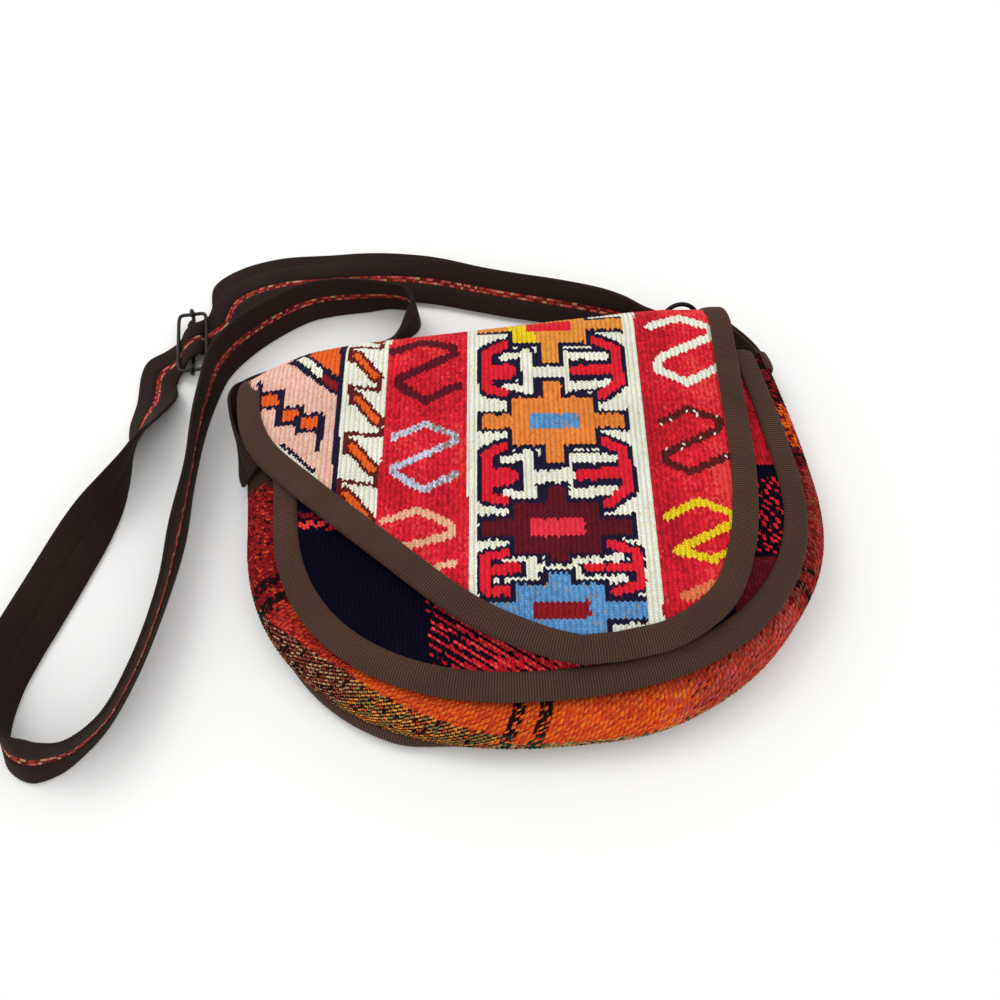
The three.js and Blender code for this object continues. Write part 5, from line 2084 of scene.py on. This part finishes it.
@dataclass(frozen=True)
class Band:
    """Ribbed flat band swept along rows of place, width direction and width."""

    thickness: float
    rib: float = 0.00115
    rib_height: float = 0.00022
    stripe: float = 0.0

    SPAN_STEPS = 16
    # Painted highlight on the ribs and painted shade in the grooves.
    SHADES = (1.3, 0.45)
    BEVEL = 0.0003
    SEAM = 0.0004
    EDGE = (-90, -50, 0, 50, 90)
    FACE_SHARES = (0.62, 0.35)
    SEAM_SHARES = (0.6, 0.3)
    FACE_RISE = (1.12, 1.12, 1.0, 0.5)
    SEAM_RISE = (-1.08, -1.1, -1.0)
    SEAM_FOOT = -0.72

    def rows(self, route: Array) -> Array:
        """Smooth rows half a rib apart."""
        return resample(spline(route, self.SPAN_STEPS), self.rib / 2)

    def frames(self, rows: Array) -> Frames:
        """Section frames: outward along the width, normal out of the striped face."""
        wide = unit(rows[:, 3:6])
        face = unit(np.cross(tangents(rows[:, :3]), wide))
        return Frames(rows[:, :3], wide, face)

    def piece(self, name: str, rows: Array, finish: ClothFinish) -> Object:
        """Sweep the band, with a sunk middle on its striped face and a seam behind it.

        Args:
            name: The piece's name.
            rows: Rows half a rib apart.
            finish: Its finish.

        Returns:
            The band.
        """
        count, half = len(rows), rows[:, 6:7] / 2
        rise, inner = self.thickness / 2, self.stripe / 2
        edge = np.radians(self.EDGE)
        arc_rise = rise * np.sin(edge)

        def column(value: float) -> Array:
            """One value in every row."""
            return np.full((count, 1), value)

        right = half + rise * (np.cos(edge) - 1)
        shoulder, inset = self.FACE_SHARES
        sunk = np.hstack([column(inner + self.BEVEL), column(inner)])
        face = np.hstack([half * shoulder, half * inset + inner / 2, sunk])
        face_rise = np.array(self.FACE_RISE) * rise
        seam = np.hstack([half * self.SEAM_SHARES, column(self.SEAM)])
        seam_rise = np.array(self.SEAM_RISE) * rise
        out = np.hstack([right, face, -face[:, ::-1], -right[:, ::-1], -seam, column(0.0), seam[:, ::-1]])
        up = np.concatenate([
            arc_rise, face_rise, face_rise[::-1], arc_rise[::-1],
            seam_rise, [self.SEAM_FOOT * rise], seam_rise[::-1],
        ])
        ribbed = np.concatenate([
            arc_rise / rise, (1, 1, 1, 0, 0, 1, 1, 1), arc_rise[::-1] / rise, (-1, -1, -1, 0, -1, -1, -1),
        ])
        stand = alternating(count, 0.5, -0.5)[:, None] * self.rib_height
        sections = self.frames(rows).sections(out, up[None] + ribbed[None] * stand)
        # Painted rib highlight and groove shade, station by station.
        shades = alternating(count, *self.SHADES)
        return finished_piece(name, skin(sections, shades=shades), finish.material())


@dataclass(frozen=True)
class Strap:
    """Shoulder strap: a narrow kilim strip between ribbon edges, lying in loops on the table.

    It runs from the gusset's left end through the slider and round the ring, and comes back under
    itself to the slider's bar. Routes are in millimetres: x, y and roll in degrees (0 is flat with
    the striped face up), then the width and the height where they aren't the usual ones.
    """

    slider: Slider
    ring: Ring
    width: float = 0.025
    thickness: float = 0.0018
    in_slider: float = 0.018
    in_ring: float = 0.013
    layer_gap: float = 0.0006
    rest_gap: float = 0.00025
    fit_gap: float = 0.0003
    stripe: float = 0.0036
    stripe_start: float = 0.034
    sliding_slip: float = -0.002
    sewn_slip: float = 0.0045
    sewn_tail: float = 0.0016
    single: Points = (
        (-137.5, 30.5, -47, 16.5, 21), (-142.2, 42, -67, 20.5, 16.4), (-146.2, 57, -85, 24, 14.2),
        (-148.4, 72, -90, 24, 14), (-149.6, 82, -90, 20, 11.5), (-149.5, 92, -80, 16), (-146.5, 100, -50, 15),
        (-137, 103.5, -22, 15), (-124, 105, -8, 17), (-108, 106, -4, 21), (-92, 108.5, -3), (-77, 113, -15),
        (-66, 119, -50), (-57.5, 125.5, -82), (-51.5, 135, -95), (-54, 144.5, -100), (-64.5, 149, -98),
        (-80, 150.5, -86), (-97, 151, -78), (-112, 148.5, -75), (-129.4, 139.5, -73), (-146.7, 126, -72),
        (-158, 110.5, -77), (-163.3, 91, -86), (-166.9, 71, -91), (-169.8, 40, -96), (-173.5, 8, -90),
        (-178.5, -25, -99), (-188.4, -61, -103), (-199.5, -84.5, -103), (-211, -95, -94), (-220.5, -98, -76),
        (-229.5, -97.8, -62), (-238, -93, -68), (-244.5, -79, -93), (-246, -62, -115), (-243.5, -45, -135),
        (-237.5, -28, -145), (-230.5, -11, -148), (-223, 6, -145), (-214, 22, -125), (-207, 35, -102),
        (-202, 48.5, -82), (-199, 61, -66), (-196, 78.5, -36), (-192, 94, -19),
    )
    doubled: Points = (
        (-153, 160, 0, 25, 9.5), (-143, 167.5, 0, 25, 11), (-126, 172, 2, 25, 10), (-100, 171.5, 6, 25, 8),
        (-78, 169.5, 14, 25, 6), (-57, 165, 28, 25, 3), (-36.5, 158.3, 44, 25, 1), (-15.5, 150.5, 48, 25, 0),
        (4, 143.5, 50, 25, 0), (24, 137, 52, 25, 0), (49, 128.3, 55, 24, 0), (62, 123.8, 58, 21, 0),
        (72, 119.8, 62, 17, 0),
    )
    sliding: Points = (
        (-17.4, 2.1), (-12, 2.5), (-7.5, 3.6), (-5.5, 5.2), (-3.3, 8), (-1.3, 9.2), (1.3, 9.2), (3.7, 8.2),
        (5.5, 5.7), (7.5, 4.4), (12, 3.6), (17.4, 3.5),
    )
    sewn_end: Points = ((17.4, 1.1), (12, 1.1), (7.5, 1.1), (4.7, 1.5), (2.3, 2.3))
    sewn_turn: tuple[int, ...] = (270, 225, 180, 135, 90)
    stripe_weave: Weave = Weave(0.0009, 0.0013, 0.0007, 0.0003, 0.0005, 0.00005, seed=41)

    USUAL = (25, None)
    LINE_STEP = 4
    STRIPE_YARNS = (
        Yarn.ROSE, Yarn.BROWN, Yarn.RUSSET, Yarn.BRICK, Yarn.ROSE, Yarn.WINE, Yarn.TAN, Yarn.BROWN,
    )
    STRIPE_SEED = 17
    STRIPE_RUN = 0.0019
    STRIPE_RUNS = 900

    def _laid(self, route: Points, stack: float) -> tuple[Array, Array]:
        """Lay the band along a route on the table.

        Args:
            route: Each x, y, roll, width and height, with None for a height where it rests on the table.
            stack: Thickness of what lies there.

        Returns:
            Rows of place, width direction and width, and the headings in plan.
        """
        plan = np.array([entry[:2] for entry in route], float)
        ahead, behind = np.vstack([plan[1:], plan[-1:]]), np.vstack([plan[:1], plan[:-1]])
        headings = np.column_stack([unit(ahead - behind), np.zeros(len(plan))])
        rows = []
        for (x, y, roll, width, height), heading in zip(route, headings):
            angle = math.radians(roll)
            wide = np.cross(UP, heading) * math.cos(angle) + UP * math.sin(angle)
            rest = width * MM / 2 * abs(math.sin(angle)) + stack / 2 * abs(math.cos(angle)) + self.rest_gap
            z = rest if height is None else height * MM
            rows.append(np.concatenate([(x * MM, y * MM, z), wide, [width * MM]]))
        return np.array(rows), headings

    def single_rows(self) -> Array:
        """Rows of the single run, from the gusset's end to the slider."""
        route = [(*entry, *self.USUAL[len(entry) - 3:]) for entry in self.single]
        return self._laid(route, self.thickness)[0]

    def doubled_rows(self, layer: int) -> Array:
        """Rows of one layer of the doubled run.

        Args:
            layer: 1 for the sliding layer on top, -1 for the returning one.

        Returns:
            Rows of place, width direction and width.
        """
        pitch = (self.thickness + self.layer_gap) / 2
        route = [(*lie, None) for *lie, _ in self.doubled]
        slips = np.array([entry[-1] for entry in self.doubled])[:, None]
        rows, headings = self._laid(route, self.thickness + 2 * pitch)
        rows[:, :3] -= np.cross(rows[:, 3:6], headings) * layer * pitch
        if layer < 0:
            rows[:, :3] += rows[:, 3:6] * slips * MM
        return rows

    def slider_rows(self, points: Points, slip: float) -> Array:
        """Rows inside the slider, from distances across it and heights in millimetres."""
        return self.slider.strap_rows(points, slip, self.width, self.in_slider)

    def sewn_rows(self) -> Array:
        """Rows of the end that is sewn round the slider's bar.

        Returns:
            Rows of place, width direction and width.
        """
        level = self.slider.centre[2] - self.slider.bar_drop
        rise = self.slider.wire + self.fit_gap + self.thickness / 2
        turn = np.radians(self.sewn_turn)
        points = [(rise * c / MM, (level + rise * s) / MM) for c, s in zip(np.cos(turn), np.sin(turn))]
        tail = (self.sewn_tail / MM, (level + rise) / MM)
        return self.slider_rows((*self.sewn_end, *points, tail), self.sewn_slip)

    def _stripe(self, name: str, band: Band, rows: Array) -> Object:
        """Weave the strip of kilim along the middle of the striped face.

        Args:
            name: The piece's name.
            band: The band it lies in.
            rows: The band's rows.

        Returns:
            The woven strip.
        """
        frames, along = band.frames(rows), lengths_along(rows)
        half = self.stripe / 2

        def place(u: Array, v: Array, lift: Array) -> Array:
            """Places over the band's middle, by distances across and along the strip."""
            parts = (frames.origin, frames.outward, frames.normal)
            return Frames(*(read_along(v, along, part) for part in parts)).at(u - half, lift)

        def colours(u: Array, v: Array) -> Array:
            """Short runs of yarn, in two columns a step apart.

            Args:
                u: Distance across the strip.
                v: Distance along it.

            Returns:
                One linear colour a stitch.
            """
            yarns = len(self.STRIPE_YARNS)
            order = np.random.default_rng(self.STRIPE_SEED).integers(0, yarns, self.STRIPE_RUNS)
            run = (v / self.STRIPE_RUN).astype(int) % self.STRIPE_RUNS
            tints = np.array([yarn.linear for yarn in self.STRIPE_YARNS])
            return tints[(order[run] + (u > half)) % yarns]

        def shown(u: Array, v: Array) -> Array:
            """Stitches past the sewn end."""
            return v > self.stripe_start

        size = (self.stripe, along[-1])
        piece = self.stripe_weave.piece(name, size, place, shown, colours, KILIM_YARN)
        return piece

    def build(self, slider_pieces: list[Object]) -> list[Object]:
        """Make the run to the ring and the returning layer, each with its stripe.

        Args:
            slider_pieces: The wires that sit on the strap; not used.

        Returns:
            Both bands.
        """
        band = Band(self.thickness, stripe=self.stripe)
        turn = self.ring.turn_of_band(-1, self.thickness, self.in_ring, self.fit_gap)
        out = np.vstack([
            self.single_rows(), self.slider_rows(self.sliding, self.sliding_slip), self.doubled_rows(1), turn,
        ])
        back = np.vstack([turn[-1:], self.doubled_rows(-1)[::-1], self.sewn_rows()])
        bands = []
        for name, route in (("strap_run", out), ("strap_return", back)):
            rows = band.rows(route)
            piece = band.piece(name, rows, STRAP_RIBBON)
            stripe = self._stripe(f"{name}_stripe", band, rows)
            bands.append(piece)
        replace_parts(bands[0], "strap")
        return bands


@dataclass(frozen=True)
class RingTab:
    """Doubled ribbon that ties the ring to the gusset's right end."""

    pouch: Pouch
    gusset: Gusset
    ring: Ring
    width: float = 0.010
    layer: float = 0.0009
    lead: float = 0.017
    bow: float = 0.0058
    sag: float = 0.0044
    shares: tuple[float, ...] = (0.0, 0.27, 0.56, 0.84, 1.0)
    turned: float = 0.8
    rib_height: float = 0.00012

    def build(self) -> Object:
        """Make the tab.

        Returns:
            The ribbon, round the ring and back.
        """
        pouch = self.pouch
        clear = pouch.standoff + pouch.ease + pouch.gap
        start = self.gusset.place(np.array([1.0]), np.array([0.5]))[0] + pouch.out_of_end * clear
        end = np.array(self.ring.centre) + (self.lead, 0.0, 0.0)
        slack = RIGHT * self.bow - UP * self.sag
        middle = np.array([
            start + (end - start) * share + slack * math.sin(math.pi * share) for share in self.shares
        ])
        heading = tangents(middle) * (1, 1, 0)
        share = np.array(self.shares)[:, None] * self.turned
        wide = unit(UP * (1 - share) + self.ring.upward * share)
        apart = self.layer / 2 + pouch.gap + (self.ring.wire - self.layer / 2) * share
        face, width = unit(np.cross(wide, heading)), np.full(len(middle), self.width)
        upper, lower = (np.column_stack([middle + face * sign * apart, wide, width]) for sign in (1, -1))
        turn = self.ring.turn_of_band(1, self.layer, self.width, pouch.gap)
        band = Band(self.layer, rib_height=self.rib_height)
        rows = band.rows(np.vstack([upper, turn, lower[::-1]]))
        piece = band.piece("ring_tab_ribbon", rows, RIBBON)
        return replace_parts(piece, "ring_tab")


@dataclass(frozen=True)
class Studio:
    """White table, soft light from the upper left and the camera over it."""

    table_size: float = 8.0
    table_colour: str = "fdfdfb"
    sky: float = 0.94
    key_power: float = 7.0
    key_place: Place = (-0.9, 0.8, 1.5)
    key_size: float = 0.9
    camera_place: Place = (-0.0445, -0.2442, 0.430)
    camera_forward: Place = (0.0554, 0.527, -0.848)
    lens: float = 36.0
    sensor: float = 36.0
    shift_y: float = -0.01
    clip_start: float = 0.01
    table_gap: float = 0.0002

    def build(self) -> None:
        """Set the table, the lights and the camera."""
        self._table()
        self._light()
        self._camera()
        bpy.context.scene.view_settings.view_transform = "Standard"

    def _table(self) -> None:
        """Lay the table under the bag."""
        mesh = new_grid(1, 1)
        bmesh.ops.scale(mesh, vec=(self.table_size,) * 3, verts=mesh.verts[:])
        bmesh.ops.translate(mesh, vec=(0.0, 0.0, -self.table_gap), verts=mesh.verts[:])
        data = bpy.data.meshes.new("table")
        mesh.to_mesh(data)
        mesh.free()
        material, tree, shader = new_material("table_white")
        matt = {"Roughness": 0.9, "Specular IOR Level": 0.1}
        feed(tree, shader, {"Base Color": opaque(self.table_colour), **matt})
        data.materials.append(material)
        add_object("table", data)

    def _light(self) -> None:
        """Hang the key light and make the sky plain, white to the camera."""
        lamp = bpy.data.lights.new("key", "AREA")
        lamp.energy = self.key_power
        lamp.size = self.key_size
        self._aim(add_object("key", lamp), self.key_place, -Vector(self.key_place))
        world = bpy.data.worlds.new("sky")
        world.use_nodes = True
        tree = world.node_tree
        seen = add_node(tree, "ShaderNodeLightPath", {}).outputs["Is Camera Ray"]
        level = add_node(tree, "ShaderNodeMapRange", {"Value": seen, "To Min": self.sky, "To Max": 1.0})
        white = {"Color": (1.0, 1.0, 1.0, 1.0), "Strength": level.outputs["Result"]}
        feed(tree, tree.nodes["Background"], white)
        bpy.context.scene.world = world

    def _camera(self) -> None:
        """Set the camera at the picture's angle."""
        data = bpy.data.cameras.new("camera")
        data.lens = self.lens
        data.sensor_width = self.sensor
        data.shift_y = self.shift_y
        data.clip_start = self.clip_start
        camera = add_object("camera", data)
        self._aim(camera, self.camera_place, Vector(self.camera_forward))
        bpy.context.scene.camera = camera

    @staticmethod
    def _aim(item: Object, place: Place, forward: Vector) -> None:
        """Put a light or a camera in its place and turn it forward."""
        item.location = place
        item.rotation_euler = forward.to_track_quat("-Z", "Y").to_euler()


def main() -> None:
    """Build the bag piece by piece, then the studio round it."""
    logging.basicConfig(level=logging.INFO, format="%(name)s: %(message)s")
    pouch = Pouch()
    slider, ring = Slider(), Ring()
    Studio().build()
    strap = Strap(slider, ring)
    strap.build(slider.build())
    kilim = KilimPanel(pouch)
    gusset = Gusset(pouch)
    kilim.build()
    FrontPanel(pouch, kilim).build()
    gusset.build()
    RibbonBinding(pouch, kilim, gusset).build()
    ring.build()
    RingTab(pouch, gusset, ring).build()


if __name__ == "__main__":
    main()
